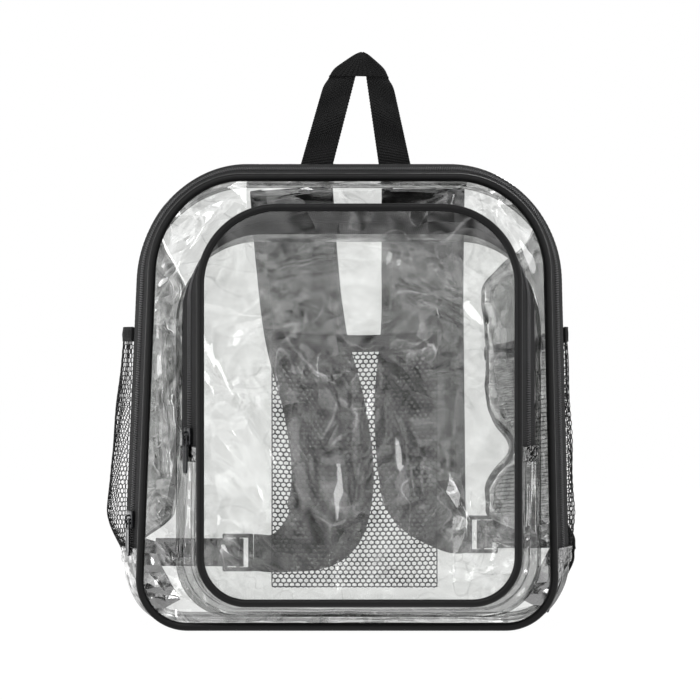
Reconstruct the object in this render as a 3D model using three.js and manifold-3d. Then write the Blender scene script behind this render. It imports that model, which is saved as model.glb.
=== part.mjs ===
// A clear vinyl stadium backpack with black piping, two zippers, mesh pockets,
// a folded webbing handle and two padded shoulder straps.
// Millimetres. +Z is up, the bag's front faces -Y, and +X is on the right in the front view.
// The origin is the middle of the bottom of the main compartment, where the bag stands.
import * as THREE from "three";
import { mergeVertices } from "three/addons/utils/BufferGeometryUtils.js";
import Module from "manifold-3d";

const wasm = await Module();
wasm.setup();

// Clearances and walls
const seamGap = 0.3; // between two pieces that are sewn or welded together
const filmWall = 1;
const netWall = 1;
const elasticWall = 1.6;
const webbingWall = 1.3;
const webbingWidth = 20;
const foldSwell = 0.17; // where webbing is folded over

// Main compartment, measured at the piping's middle line on the front panel
const bodyWidth = 284;
const bodyHeight = 305.5;
const bodyCentreX = -2;
const bodyDepth = 110;
const bodyTopRadius = 64;
const bodyBottomRadius = 37;
const bodyLeanLeft = 0.085; // how much nearer the middle line the side is at the top, as a share
const bodyLeanRight = 0.05;
const bodyPipingRadius = 2.8;
const bindingRadius = 2.2;

// How far the body spreads beyond its front panel at the zipper's rear edge and at the back seam
const zipFlareLeft = 13.5;
const zipFlareRight = 12.6;
const zipFlareTop = 11;
const backFlareLeft = 15.5;
const backFlareRight = 15.6;
const backFlareTop = 0;
const flaredTopRadius = 80;
const flaredBottomRadius = 46;
const heelDepth = 8; // the last stretch of the bottom, which rises to the back seam

// How far the empty side walls fall in, and the heights between which they do
const sideFallLeft = 14;
const sideFallRight = 36;
const sideFallLow = 48;
const sideFallFull = 90;
const sideFallEase = 230;
const sideFallHigh = 290;
const sideKnotHeight = 124; // where a fold across the right wall holds it out
const sideKnotReach = 16;
const sideKnotShare = 0.3;

// Main zipper
const zipEndHeight = 48.5;
const tapeWidth = 10.5;
const tapeWall = 1;
const coilWidth = 6;
const coilWall = 2;
const coilProud = 0.7;

// Front pocket, measured at its own piping's middle line
const pocketWidth = 212.4;
const pocketHeight = 264.2;
const pocketDepth = 38;
const pocketCentreX = 6.5;
const pocketLift = 21.9;
const pocketTopRadius = 52;
const pocketBottomRadius = 31;
const pocketPipingRadius = 2.7;
const pocketCrown = 5;
const pocketTapeWidth = 9;
const pocketZipEndHeight = 119;

// How far the pocket's seam on the front panel lies beyond its front, where the top one lies inside it
const baseFlareLeft = 18.2;
const baseFlareRight = 17.4;
const baseFlareBottom = 12.3;
const baseFlareTop = -21.7;
const pocketBaseTopRadius = 56;
const pocketBaseBottomRadius = 38;

// Mesh pockets on the two sides
const sideNetLow = 49;
const sideNetHigh = 207;
const sideNetMargin = 2.5; // from the seams in front of and behind it
const sideNetBulgeLeft = 14;
const sideNetBulgeRight = 8;

// Shares of the right net's depth between which it takes on the wall's fall, and then leaves it again
const followFrom = 0.12;
const followFull = 0.5;
const followEase = 0.6;
const followEnd = 0.86;
const elasticHeight = 10;
const elasticBulgeShare = 0.55;

// Mesh pocket inside, on the back panel
const innerNetWidth = 117.4;
const innerNetCentreX = 3.5;
const innerNetLow = 22;
const innerNetHigh = 204.5;
const innerNetBulge = 9;
const innerElasticHeight = 12;

// Handle of folded webbing, its corners in the front view
// right: from the bag's middle line. up: above the handle's foot.
const handleCorners = {
  leftFootOuter: { right: -38.4, up: 0 },
  leftFootInner: { right: -15.1, up: 0 },
  leftShoulder: { right: -16.6, up: 75.8 },
  peak: { right: 9, up: 93.2 },
  rightShoulder: { right: 29.7, up: 75 },
  rightFootInner: { right: 22.6, up: 0 },
  rightFootOuter: { right: 46.2, up: 0 },
};

// Shoulder straps
const strapWidth = 58;
const strapThickness = 8;
const strapTipWidth = 25;
const strapTipThickness = 4;
const strapTopDrop = 3; // from the back seam's top
const strapBow = 42;
const buckleRightHeight = 59;
const buckleLeftHeight = 46;
const buckleWidth = 27;
const buckleLength = 22;
const buckleWall = 3.2;
const buckleEndBar = 3.6;
const buckleMiddleBar = 3.4;
const webAnchorHeight = 8;
const webTailLength = 60;

// How far inside the back seam's side the buckle, the webbing's anchor and its fold lie
const buckleRightInset = 60.5;
const buckleLeftInset = 79.5;
const webAnchorRightInset = 25.5;
const webAnchorLeftInset = 29.5;
const webFoldRightInset = -3.5;
const webFoldLeftInset = 8.5;

// Zip sliders and their pulls
const sliderWidth = 10.4;
const sliderLength = 12;
const sliderWall = 1.5;
const sliderClearance = 0.35;
const bailWidth = 2.4;
const bailLength = 7;
const bailLegs = 1.3;
const bailTunnel = 2.3;
const pullBarRadius = 0.75;
const pullWidth = 6.8;
const pullLength = 25;
const pullWindow = 6;
const pullRail = 1.1;
const pullWall = 1.5;
const bodySliderHeight = 75;
const pocketSliderHeight = 133;

// How finely round stretches are faceted
const topCornerSteps = 8;
const bottomCornerSteps = 6;
const sideSteps = 5;
const straightSteps = 3;
const traySideSteps = 1;
const pipingSides = 8;
const strapSections = 18;
const strapSides = 12;

// Levels that follow from the sizes above
const frontY = -bodyDepth / 2;
const backY = bodyDepth / 2;

// Surface finishes
const vinyl = new THREE.MeshStandardMaterial({
  color: 0xe9ecec,
  roughness: 0.08,
  metalness: 0,
  transparent: true,
  opacity: 0.25,
});
const piping = new THREE.MeshStandardMaterial({ color: 0x17181a, roughness: 0.42, metalness: 0 });
const tape = new THREE.MeshStandardMaterial({ color: 0x1b1c1e, roughness: 0.85, metalness: 0 });
const coil = new THREE.MeshStandardMaterial({ color: 0x141416, roughness: 0.5, metalness: 0 });
const net = new THREE.MeshStandardMaterial({ color: 0x151517, roughness: 0.75, metalness: 0 });
const elastic = new THREE.MeshStandardMaterial({ color: 0x1a1a1c, roughness: 0.8, metalness: 0 });
const webbing = new THREE.MeshStandardMaterial({ color: 0x161618, roughness: 0.75, metalness: 0 });
const padding = new THREE.MeshStandardMaterial({ color: 0x262729, roughness: 0.9, metalness: 0 });
const plastic = new THREE.MeshStandardMaterial({ color: 0x121214, roughness: 0.4, metalness: 0 });
const enamel = new THREE.MeshStandardMaterial({ color: 0x1d1f22, roughness: 0.35, metalness: 0.6 });

const backpack = new THREE.Group();

function addPiece(name, geometry, material, parent = backpack) {
  const mesh = new THREE.Mesh(geometry, material);
  mesh.name = name;
  parent.add(mesh);
  return mesh;
}

// Closed bodies from points

function signedVolume(points, triangles) {
  let six = 0;
  for (const [a, b, c] of triangles) {
    six += points[a].dot(new THREE.Vector3().crossVectors(points[b], points[c]));
  }
  return six / 6;
}

function closedGeometry(points, triangles) {
  const facing = signedVolume(points, triangles) < 0 ? triangles.map(([a, b, c]) => [a, c, b]) : triangles;
  const geometry = new THREE.BufferGeometry();
  geometry.setAttribute(
    "position",
    new THREE.Float32BufferAttribute(points.flatMap((p) => [p.x, p.y, p.z]), 3),
  );
  geometry.setIndex(facing.flat());
  geometry.computeVertexNormals();
  return geometry;
}

// A profile's own triangles, each running the way that its points do.
function capTriangles(profile) {
  const flat = profile.map(([a, b]) => new THREE.Vector2(a, b));
  const forward = THREE.ShapeUtils.area(flat) > 0;
  return THREE.ShapeUtils.triangulateShape(flat, []).map(([a, b, c]) =>
    THREE.ShapeUtils.area([flat[a], flat[b], flat[c]]) > 0 === forward ? [a, b, c] : [a, c, b],
  );
}

// A body through rings of points that all follow one profile.
function loft(rings, profile, closed) {
  const across = profile.length;
  const points = rings.flat();
  const triangles = [];
  const spans = closed ? rings.length : rings.length - 1;
  for (let i = 0; i < spans; i++) {
    const here = i * across;
    const next = ((i + 1) % rings.length) * across;
    for (let k = 0; k < across; k++) {
      const step = (k + 1) % across;
      triangles.push([here + k, next + k, next + step], [here + k, next + step, here + step]);
    }
  }
  if (!closed) {
    const last = (rings.length - 1) * across;
    for (const [a, b, c] of capTriangles(profile)) {
      triangles.push([a, b, c], [last + a, last + c, last + b]);
    }
  }
  return closedGeometry(points, triangles);
}

// A sheet between two grids of points, closed round its rim.
function slab(outer, inner) {
  const rows = outer.length;
  const columns = outer[0].length;
  const points = [...outer.flat(), ...inner.flat()];
  const under = rows * columns;
  const triangles = [];
  for (let r = 0; r < rows - 1; r++) {
    for (let c = 0; c < columns - 1; c++) {
      const a = r * columns + c;
      const b = a + 1;
      const d = a + columns;
      const e = d + 1;
      triangles.push([a, b, e], [a, e, d]);
      triangles.push([under + a, under + e, under + b], [under + a, under + d, under + e]);
    }
  }
  const rim = [];
  for (let c = 0; c < columns - 1; c++) rim.push(c);
  for (let r = 0; r < rows - 1; r++) rim.push(r * columns + columns - 1);
  for (let c = columns - 1; c > 0; c--) rim.push((rows - 1) * columns + c);
  for (let r = rows - 1; r > 0; r--) rim.push(r * columns);
  rim.forEach((a, i) => {
    const b = rim[(i + 1) % rim.length];
    triangles.push([b, a, under + a], [b, under + a, under + b]);
  });
  return closedGeometry(points, triangles);
}

// Joining and cutting closed bodies

function solidOf(geometry, matrix = new THREE.Matrix4()) {
  const bare = geometry.clone().applyMatrix4(matrix);
  bare.deleteAttribute("normal");
  bare.deleteAttribute("uv");
  const merged = mergeVertices(bare, 1e-4);
  return new wasm.Manifold(
    new wasm.Mesh({
      numProp: 3,
      vertProperties: new Float32Array(merged.attributes.position.array),
      triVerts: new Uint32Array(merged.index.array),
    }),
  );
}

function geometryOf(solid) {
  const mesh = solid.getMesh();
  const geometry = new THREE.BufferGeometry();
  geometry.setAttribute("position", new THREE.BufferAttribute(new Float32Array(mesh.vertProperties), 3));
  geometry.setIndex(new THREE.BufferAttribute(new Uint32Array(mesh.triVerts), 1));
  geometry.computeVertexNormals();
  return geometry;
}

function joined(solids) {
  return geometryOf(solids.reduce((all, one) => all.add(one)));
}

function block(width, length, height, x, y, z) {
  return solidOf(new THREE.BoxGeometry(width, length, height).translate(x, y, z));
}

// Outlines in the front view

function grown(outline, by) {
  return {
    left: outline.left - by,
    right: outline.right + by,
    bottom: outline.bottom - by,
    top: outline.top + by,
    topRadius: outline.topRadius + by,
    bottomRadius: outline.bottomRadius + by,
  };
}

function between(a, b, share) {
  return Object.fromEntries(Object.keys(a).map((key) => [key, THREE.MathUtils.lerp(a[key], b[key], share)]));
}

function outlineAt(form, depth) {
  const rows = form.sections;
  let i = 1;
  while (i < rows.length - 1 && depth > rows[i].depth) i++;
  const share = (depth - rows[i - 1].depth) / (rows[i].depth - rows[i - 1].depth);
  return between(rows[i - 1].outline, rows[i].outline, share);
}

function straight(fromX, fromZ, toX, toZ, steps) {
  return Array.from({ length: steps }, (_, i) => ({
    x: THREE.MathUtils.lerp(fromX, toX, i / steps),
    z: THREE.MathUtils.lerp(fromZ, toZ, i / steps),
  }));
}

function corner(centreX, centreZ, radius, fromAngle, toAngle, steps) {
  return Array.from({ length: steps }, (_, i) => {
    const angle = THREE.MathUtils.lerp(fromAngle, toAngle, i / steps);
    return { x: centreX + radius * Math.cos(angle), z: centreZ + radius * Math.sin(angle) };
  });
}

// The way over the top, from the left side's zip end to the right side's.
function archOf(outline, endHeight) {
  const { left, right, top, topRadius: r } = outline;
  const low = endHeight + seamGap;
  return [
    ...straight(left, low, left, top - r, sideSteps),
    ...corner(left + r, top - r, r, Math.PI, Math.PI / 2, topCornerSteps),
    ...straight(left + r, top, right - r, top, straightSteps),
    ...corner(right - r, top - r, r, Math.PI / 2, 0, topCornerSteps),
    ...straight(right, top - r, right, low, sideSteps),
    { x: right, z: low },
  ];
}

// The way under the bottom, from the right side's zip end to the left side's.
function trayOf(outline, endHeight) {
  const { left, right, bottom, bottomRadius: r } = outline;
  return [
    ...straight(right, endHeight, right, bottom + r, traySideSteps),
    ...corner(right - r, bottom + r, r, 0, -Math.PI / 2, bottomCornerSteps),
    ...straight(right - r, bottom, left + r, bottom, straightSteps),
    ...corner(left + r, bottom + r, r, -Math.PI / 2, -Math.PI, bottomCornerSteps),
    ...straight(left, bottom + r, left, endHeight, traySideSteps),
    { x: left, z: endHeight },
  ];
}

function loopOf(outline, endHeight) {
  return [...archOf(outline, endHeight), ...trayOf(outline, endHeight)];
}

// A point's distance from the middle line, with the form's sides leaning in towards the top.
function leaned(form, x, z) {
  const lean = x < 0 ? form.leanLeft : form.leanRight;
  return x * (1 - (lean * z) / (bodyPipingRadius + bodyHeight));
}

// Where a point of an outline lies in the bag, with the side walls fallen in.
function placed(form, point, depth) {
  const inward = form.fall ? form.fall(Math.sign(point.x), point.z, depth) : 0;
  const x = leaned(form, point.x, point.z) - Math.sign(point.x) * inward;
  return new THREE.Vector3(x, form.frontY + depth, point.z);
}

// A profile of [distance out of the wall, depth] pairs, taken along a way round the form.
function sweptAlong(form, way, profile, closed) {
  const lines = profile.map(([out, depth]) =>
    way(grown(outlineAt(form, depth), out), form.zipEnd).map((p) => placed(form, p, depth)),
  );
  const rings = lines[0].map((_, i) => lines.map((line) => line[i]));
  return loft(rings, profile, closed);
}

// A wall's profile from one depth to another, bent at each of the form's own depths on the way.
function wallProfile(form, from, to, thickness, proud = 0) {
  const bends = form.bends.filter((depth) => depth > from && depth < to);
  const depths = [from, ...bends, to];
  return [
    ...depths.map((depth) => [proud, depth]),
    ...depths.reverse().map((depth) => [proud - thickness, depth]),
  ];
}

function roundProfile(radius, depth, sides) {
  return Array.from({ length: sides }, (_, i) => {
    const angle = ((i + 0.5) / sides) * 2 * Math.PI;
    return [radius * Math.cos(angle), depth + radius * Math.sin(angle)];
  });
}

// A panel inside a form's seam, which swells forwards by its crown.
function crownedPanel(form, inset, depth, crown) {
  const outline = grown(outlineAt(form, depth), -inset);
  const rim = loopOf(outline, form.zipEnd).map(({ x, z }) => ({ x: leaned(form, x, z), z }));
  const middle = { x: (outline.left + outline.right) / 2, z: (outline.bottom + outline.top) / 2 };
  const shares = crown > 0 ? [1, 0.82, 0.5] : [1];
  const layer = (shift) => {
    const at = (point, share) =>
      new THREE.Vector3(
        THREE.MathUtils.lerp(middle.x, point.x, share),
        form.frontY + depth + shift - crown * (1 - share * share),
        THREE.MathUtils.lerp(middle.z, point.z, share),
      );
    return [...shares.flatMap((share) => rim.map((point) => at(point, share))), at(middle, 0)];
  };
  const points = [...layer(-filmWall / 2), ...layer(filmWall / 2)];
  const count = rim.length;
  const under = shares.length * count + 1;
  const triangles = [];
  for (let k = 0; k < count; k++) {
    const step = (k + 1) % count;
    shares.slice(1).forEach((_, s) => {
      const a = s * count + k;
      const b = s * count + step;
      triangles.push([a, b, b + count], [a, b + count, a + count]);
      triangles.push([under + a, under + b + count, under + b]);
      triangles.push([under + a, under + a + count, under + b + count]);
    });
    const inner = (shares.length - 1) * count;
    triangles.push([inner + k, inner + step, under - 1]);
    triangles.push([under + inner + k, under + under - 1, under + inner + step]);
    triangles.push([step, k, under + k], [step, under + k, under + step]);
  }
  return closedGeometry(points, triangles);
}

// The two bag forms: the main compartment and the front pocket

const bodyBandEnd = bodyPipingRadius + 3 * seamGap + 2 * tapeWidth + coilWidth;

// depth: from the front panel. zip and back: shares of the zipper's and the back seam's flares.
// rise: how high the bottom lies, which leaves a seam's own edging just above the floor.
const bodySections = [
  { depth: 0, zip: 0, back: 0, rise: bodyPipingRadius + 0.2 },
  { depth: bodyBandEnd, zip: 1, back: 0, rise: 0 },
  { depth: bodyDepth - heelDepth, zip: 0, back: 1, rise: 0 },
  { depth: bodyDepth, zip: 0, back: 1, rise: bindingRadius + 0.2 },
].map(({ depth, zip, back, rise }) => {
  const flared = zip + back;
  return {
    depth,
    outline: {
      left: bodyCentreX - bodyWidth / 2 - zip * zipFlareLeft - back * backFlareLeft,
      right: bodyCentreX + bodyWidth / 2 + zip * zipFlareRight + back * backFlareRight,
      bottom: rise,
      top: bodyPipingRadius + bodyHeight + zip * zipFlareTop + back * backFlareTop,
      topRadius: THREE.MathUtils.lerp(bodyTopRadius, flaredTopRadius, flared),
      bottomRadius: THREE.MathUtils.lerp(bodyBottomRadius, flaredBottomRadius, flared) - rise,
    },
  };
});

function bodyFall(side, height, depth) {
  const behind = (depth - bodyBandEnd) / (bodyDepth - heelDepth - bodyBandEnd);
  if (behind <= 0 || behind >= 1) return 0;
  const rising = THREE.MathUtils.smoothstep(height, sideFallLow, sideFallFull);
  const easing = 1 - THREE.MathUtils.smoothstep(height, sideFallEase, sideFallHigh);
  const knot = side > 0 ? sideKnotShare * Math.exp(-(((height - sideKnotHeight) / sideKnotReach) ** 2)) : 0;
  const deepest = side > 0 ? sideFallRight : sideFallLeft;
  return deepest * (1 - knot) * Math.min(rising, easing) * Math.sin(Math.PI * behind);
}

const fallBends = [0.25, 0.5, 0.75].map((share) =>
  THREE.MathUtils.lerp(bodyBandEnd, bodyDepth - heelDepth, share),
);

const body = {
  frontY,
  zipEnd: zipEndHeight,
  leanLeft: bodyLeanLeft,
  leanRight: bodyLeanRight,
  sections: bodySections,
  bends: [...bodySections.map((row) => row.depth), ...fallBends].sort((a, b) => a - b),
  fall: bodyFall,
};

const pocketFrontOutline = {
  left: pocketCentreX - pocketWidth / 2,
  right: pocketCentreX + pocketWidth / 2,
  bottom: pocketLift,
  top: pocketLift + pocketHeight,
  topRadius: pocketTopRadius,
  bottomRadius: pocketBottomRadius,
};

const pocketBaseOutline = {
  left: pocketFrontOutline.left - baseFlareLeft,
  right: pocketFrontOutline.right + baseFlareRight,
  bottom: pocketFrontOutline.bottom - baseFlareBottom,
  top: pocketFrontOutline.top + baseFlareTop,
  topRadius: pocketBaseTopRadius,
  bottomRadius: pocketBaseBottomRadius,
};

const pocket = {
  frontY: frontY - filmWall / 2 - seamGap - pocketDepth,
  zipEnd: pocketZipEndHeight,
  leanLeft: 0,
  leanRight: 0,
  sections: [
    { depth: 0, outline: pocketFrontOutline },
    { depth: pocketDepth, outline: pocketBaseOutline },
  ],
  bends: [],
};

// Depths of the pieces across a zipper band, from the piping back.
function zipperDepths(pipingRadius, width) {
  const front = pipingRadius + seamGap;
  const coilFrom = front + width + seamGap;
  const rear = coilFrom + coilWidth + seamGap;
  return { front, coilFrom, rear, end: rear + width };
}

const bodyZip = zipperDepths(bodyPipingRadius, tapeWidth);
const pocketZip = zipperDepths(pocketPipingRadius, pocketTapeWidth);

function addZipper(prefix, form, zip, width) {
  const strip = (from, length, wall, proud) =>
    sweptAlong(form, archOf, wallProfile(form, from, from + length, wall, proud), false);
  addPiece(prefix + "_zip_front_tape", strip(zip.front, width, tapeWall, 0), tape);
  addPiece(prefix + "_zip_coil", strip(zip.coilFrom, coilWidth, coilWall, coilProud), coil);
  addPiece(prefix + "_zip_rear_tape", strip(zip.rear, width, tapeWall, 0), tape);
}

function addBody() {
  addPiece(
    "body_piping",
    sweptAlong(body, loopOf, roundProfile(bodyPipingRadius, 0, pipingSides), true),
    piping,
  );
  addPiece("front_panel", crownedPanel(body, bodyPipingRadius + seamGap, 0, 0), vinyl);
  addZipper("body", body, bodyZip, tapeWidth);
  const wallEnd = bodyDepth - bindingRadius - seamGap;
  addPiece(
    "upper_gusset",
    sweptAlong(body, archOf, wallProfile(body, bodyZip.end + seamGap, wallEnd, filmWall), false),
    vinyl,
  );
  addPiece(
    "lower_gusset",
    sweptAlong(body, trayOf, wallProfile(body, bodyZip.front, wallEnd, filmWall), false),
    vinyl,
  );
  addPiece(
    "back_binding",
    sweptAlong(body, loopOf, roundProfile(bindingRadius, bodyDepth, pipingSides), true),
    vinyl,
  );
  addPiece("back_panel", crownedPanel(body, bindingRadius + seamGap, bodyDepth, 0), vinyl);
}

function addFrontPocket() {
  addPiece(
    "pocket_piping",
    sweptAlong(pocket, loopOf, roundProfile(pocketPipingRadius, 0, pipingSides), true),
    piping,
  );
  addPiece("pocket_front", crownedPanel(pocket, pocketPipingRadius + seamGap, 0, pocketCrown), vinyl);
  addZipper("pocket", pocket, pocketZip, pocketTapeWidth);
  addPiece(
    "pocket_upper_gusset",
    sweptAlong(pocket, archOf, wallProfile(pocket, pocketZip.end + seamGap, pocketDepth, filmWall), false),
    vinyl,
  );
  addPiece(
    "pocket_lower_gusset",
    sweptAlong(pocket, trayOf, wallProfile(pocket, pocketZip.front, pocketDepth, filmWall), false),
    vinyl,
  );
}

// Mesh pockets

// A sheet that stands off a side wall, fullest in its middle and flat at its two upright edges.
function sideNetSlab(side, low, high, wall, bulge, fullness, rows, columns) {
  const fromDepth = bodyZip.end + sideNetMargin;
  const toDepth = bodyDepth - bindingRadius - sideNetMargin;
  const layer = (out) =>
    Array.from({ length: rows + 1 }, (_, r) =>
      Array.from({ length: columns + 1 }, (_, c) => {
        const depth = THREE.MathUtils.lerp(fromDepth, toDepth, c / columns);
        const height = THREE.MathUtils.lerp(low, high, r / rows);
        const outline = outlineAt(body, depth);
        const edge = leaned(body, side < 0 ? outline.left : outline.right, height);
        const swell = bulge * fullness(r / rows) * Math.sin((Math.PI * c) / columns) ** 0.8;
        const joining = THREE.MathUtils.smoothstep(c / columns, followFrom, followFull);
        const leaving = 1 - THREE.MathUtils.smoothstep(c / columns, followEase, followEnd);
        const inward = side > 0 ? bodyFall(side, height, depth) * joining * leaving : 0;
        return new THREE.Vector3(edge + side * (seamGap + swell + out - inward), frontY + depth, height);
      }),
    );
  return slab(layer(wall), layer(0));
}

function addSidePockets() {
  const sides = [
    { name: "left", side: -1, bulge: sideNetBulgeLeft },
    { name: "right", side: 1, bulge: sideNetBulgeRight },
  ];
  const netTop = sideNetHigh - elasticHeight - seamGap;
  // The net is shut at its foot, fullest low down and drawn in again by the elastic at its mouth.
  const pouch = (share) => {
    const rising = Math.min(1, share / 0.22);
    const narrowing = Math.max(0, share - 0.22) / 0.78;
    return Math.sin((Math.PI / 2) * rising) * THREE.MathUtils.lerp(1, elasticBulgeShare, narrowing);
  };
  for (const { name, side, bulge } of sides) {
    addPiece(name + "_side_net", sideNetSlab(side, sideNetLow, netTop, netWall, bulge, pouch, 8, 8), net);
    const drawnIn = () => elasticBulgeShare;
    const bandFoot = sideNetHigh - elasticHeight;
    const band = sideNetSlab(side, bandFoot, sideNetHigh, elasticWall, bulge, drawnIn, 1, 8);
    addPiece(name + "_side_elastic", band, elastic);
  }
}

// A sheet in front of the back panel, flat at its upright edges and its foot.
function innerNetSlab(low, high, wall, fullness, rows, columns) {
  const seat = backY - filmWall / 2 - seamGap;
  const layer = (off) =>
    Array.from({ length: rows + 1 }, (_, r) =>
      Array.from({ length: columns + 1 }, (_, c) => {
        const swell = innerNetBulge * fullness(r / rows) * Math.sin((Math.PI * c) / columns) ** 0.7;
        return new THREE.Vector3(
          innerNetCentreX + innerNetWidth * (c / columns - 0.5),
          seat - swell - off,
          THREE.MathUtils.lerp(low, high, r / rows),
        );
      }),
    );
  return slab(layer(wall), layer(0));
}

function addInnerPocket() {
  const netTop = innerNetHigh - innerElasticHeight - seamGap;
  const pouch = (share) => Math.sin((Math.PI / 2) * Math.min(1, share / 0.25));
  addPiece("inner_net", innerNetSlab(innerNetLow, netTop, netWall, pouch, 6, 8), net);
  addPiece(
    "inner_elastic",
    innerNetSlab(innerNetHigh - innerElasticHeight, innerNetHigh, elasticWall, () => 1, 1, 8),
    elastic,
  );
}

// Webbing

// The corners of each straight run of a flat strip that is folded over at each inner point.
function foldedRuns(points, width) {
  const directions = points.slice(1).map((p, i) => p.clone().sub(points[i]).normalize());
  const edgeOn = (point, direction, side, line) => {
    const normal = new THREE.Vector2(-direction.y, direction.x).multiplyScalar((side * width) / 2);
    if (!line) return point.clone().add(normal);
    // The strip's edge meets the fold line through the point.
    const along = line.clone().normalize();
    const slant = along.x * direction.y - along.y * direction.x;
    const reach = (normal.x * direction.y - normal.y * direction.x) / slant;
    return point.clone().add(along.multiplyScalar(reach));
  };
  return directions.map((direction, i) => {
    const before = i > 0 ? directions[i - 1].clone().add(direction) : null;
    const after = i < directions.length - 1 ? direction.clone().add(directions[i + 1]) : null;
    return [
      edgeOn(points[i], direction, 1, before),
      edgeOn(points[i], direction, -1, before),
      edgeOn(points[i + 1], direction, -1, after),
      edgeOn(points[i + 1], direction, 1, after),
    ];
  });
}

// An upright flat piece with the given corners in the front view, its middle at the given Y.
function uprightPlate(corners, middleY, wall) {
  const shape = new THREE.Shape(corners);
  const geometry = new THREE.ExtrudeGeometry(shape, { depth: wall, bevelEnabled: false });
  // The shape's own Y becomes the bag's Z.
  geometry.rotateX(Math.PI / 2);
  geometry.translate(0, middleY + wall / 2, 0);
  return solidOf(geometry);
}

// The round edge where a strip turns over from one layer to the next, fuller than the two layers.
function foldEdge(a, b, middleY, layersRadius) {
  const radius = layersRadius + foldSwell;
  const length = a.distanceTo(b) + radius;
  const geometry = new THREE.CylinderGeometry(radius, radius, length, 10);
  const direction = new THREE.Vector3(b.x - a.x, 0, b.y - a.y).normalize();
  const turn = new THREE.Quaternion().setFromUnitVectors(new THREE.Vector3(0, 1, 0), direction);
  geometry.applyQuaternion(turn);
  geometry.translate((a.x + b.x) / 2, middleY, (a.y + b.y) / 2);
  return solidOf(geometry);
}

// A strip of webbing in the front view, whose runs lie at the given Y levels.
function foldedStrip(points, levels) {
  const runs = foldedRuns(points, webbingWidth);
  const solids = runs.map((corners, i) => uprightPlate(corners, levels[i], webbingWall));
  for (let i = 0; i < runs.length - 1; i++) {
    const middleY = (levels[i] + levels[i + 1]) / 2;
    const radius = (Math.abs(levels[i] - levels[i + 1]) + webbingWall) / 2;
    solids.push(foldEdge(runs[i][2], runs[i][3], middleY, radius));
  }
  return solids;
}

// Each leg runs up to its fold line and the folded part lies across their tops, in front.
function addHandle() {
  const foot = outlineAt(body, bodyDepth).top + bindingRadius + seamGap;
  const at = (name) => new THREE.Vector2(handleCorners[name].right, foot + handleCorners[name].up);
  const legLevel = backY;
  const crossLevel = backY - webbingWall - seamGap;
  const foldLevel = (legLevel + crossLevel) / 2;
  const foldRadius = (legLevel - crossLevel + webbingWall) / 2;
  const plate = (names, level) => uprightPlate(names.map(at), level, webbingWall);
  addPiece(
    "handle",
    joined([
      plate(["leftFootOuter", "leftFootInner", "peak", "leftShoulder"], legLevel),
      plate(["rightFootInner", "rightFootOuter", "rightShoulder", "peak"], legLevel),
      plate(["leftShoulder", "rightShoulder", "peak"], crossLevel),
      foldEdge(at("leftShoulder"), at("peak"), foldLevel, foldRadius),
      foldEdge(at("peak"), at("rightShoulder"), foldLevel, foldRadius),
    ]),
    webbing,
  );
}

// Shoulder straps, behind the back panel

const strapTopY = backY + bindingRadius + seamGap + strapThickness / 2;
const webAnchorY = backY + bindingRadius + seamGap + webbingWall / 2;
const webRunY = webAnchorY + webbingWall + seamGap;
const buckleY = webRunY + webbingWall / 2 + seamGap + buckleWall / 2;

// down: share of the way from the strap's top to its tip. out: share of the bow behind the bag.
// right and left: how far each strap's middle is from the bag's middle line, before its tip.
const strapRoute = [
  { down: 0, out: 0, right: 52.6, left: 41.6 },
  { down: 0.2, out: 0.62, right: 52.8, left: 38 },
  { down: 0.4, out: 1, right: 52.6, left: 32 },
  { down: 0.61, out: 0.96, right: 48, left: 18 },
  { down: 0.82, out: 0.6, right: 50.5, left: 12.5 },
  { down: 0.94, out: 0.25, right: 57.5, left: 22 },
  { down: 1, out: 0, right: 73, left: 50 },
];

function strapWay(side, buckleX, buckleHeight) {
  const top = outlineAt(body, bodyDepth).top - strapTopDrop;
  const way = strapRoute.map(({ down, out, right, left }) => new THREE.Vector3(
    side > 0 ? right : -left,
    THREE.MathUtils.lerp(strapTopY, buckleY, down) + strapBow * out,
    THREE.MathUtils.lerp(top, buckleHeight, down),
  ));
  way.push(new THREE.Vector3(side * (buckleX - buckleLength / 2 - seamGap), buckleY, buckleHeight));
  return new THREE.CatmullRomCurve3(way, false, "centripetal");
}

function addStrap(name, side, buckleX, buckleHeight) {
  const way = strapWay(side, buckleX, buckleHeight);
  const profile = Array.from({ length: strapSides }, (_, k) => {
    const angle = ((k + 0.5) / strapSides) * 2 * Math.PI;
    const round = (value) => Math.sign(value) * Math.abs(value) ** 0.45;
    return [round(Math.cos(angle)) / 2, round(Math.sin(angle)) / 2];
  });
  const rings = Array.from({ length: strapSections + 1 }, (_, i) => {
    const share = i / strapSections;
    const centre = way.getPointAt(share);
    const along = way.getTangentAt(share);
    const nearTip = THREE.MathUtils.smoothstep(share, 0.8, 0.97);
    const width = THREE.MathUtils.lerp(strapWidth, strapTipWidth, nearTip);
    const thick = THREE.MathUtils.lerp(strapThickness, strapTipThickness, nearTip);
    const over = new THREE.Vector3(0, 1, 0);
    over.addScaledVector(along, -over.dot(along)).normalize();
    const across = new THREE.Vector3().crossVectors(along, over).normalize();
    return profile.map(([a, b]) =>
      centre.clone().addScaledVector(across, a * width).addScaledVector(over, b * thick),
    );
  });
  addPiece(name + "_strap", loft(rings, profile, false), padding);
}

function addBuckle(name, side, buckleX, buckleHeight) {
  const slotWidth = buckleLength / 2 - buckleEndBar - buckleMiddleBar / 2;
  const slotAt = (buckleMiddleBar + slotWidth) / 2;
  const slot = (x) => block(slotWidth, 2 * buckleWall, webbingWidth + 4 * seamGap, x, 0, 0);
  const frame = block(buckleLength, buckleWall, buckleWidth, 0, 0, 0);
  const mesh = addPiece(
    name + "_buckle",
    geometryOf(frame.subtract(slot(slotAt)).subtract(slot(-slotAt))),
    plastic,
  );
  mesh.position.set(side * buckleX, buckleY, buckleHeight);
}

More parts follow.
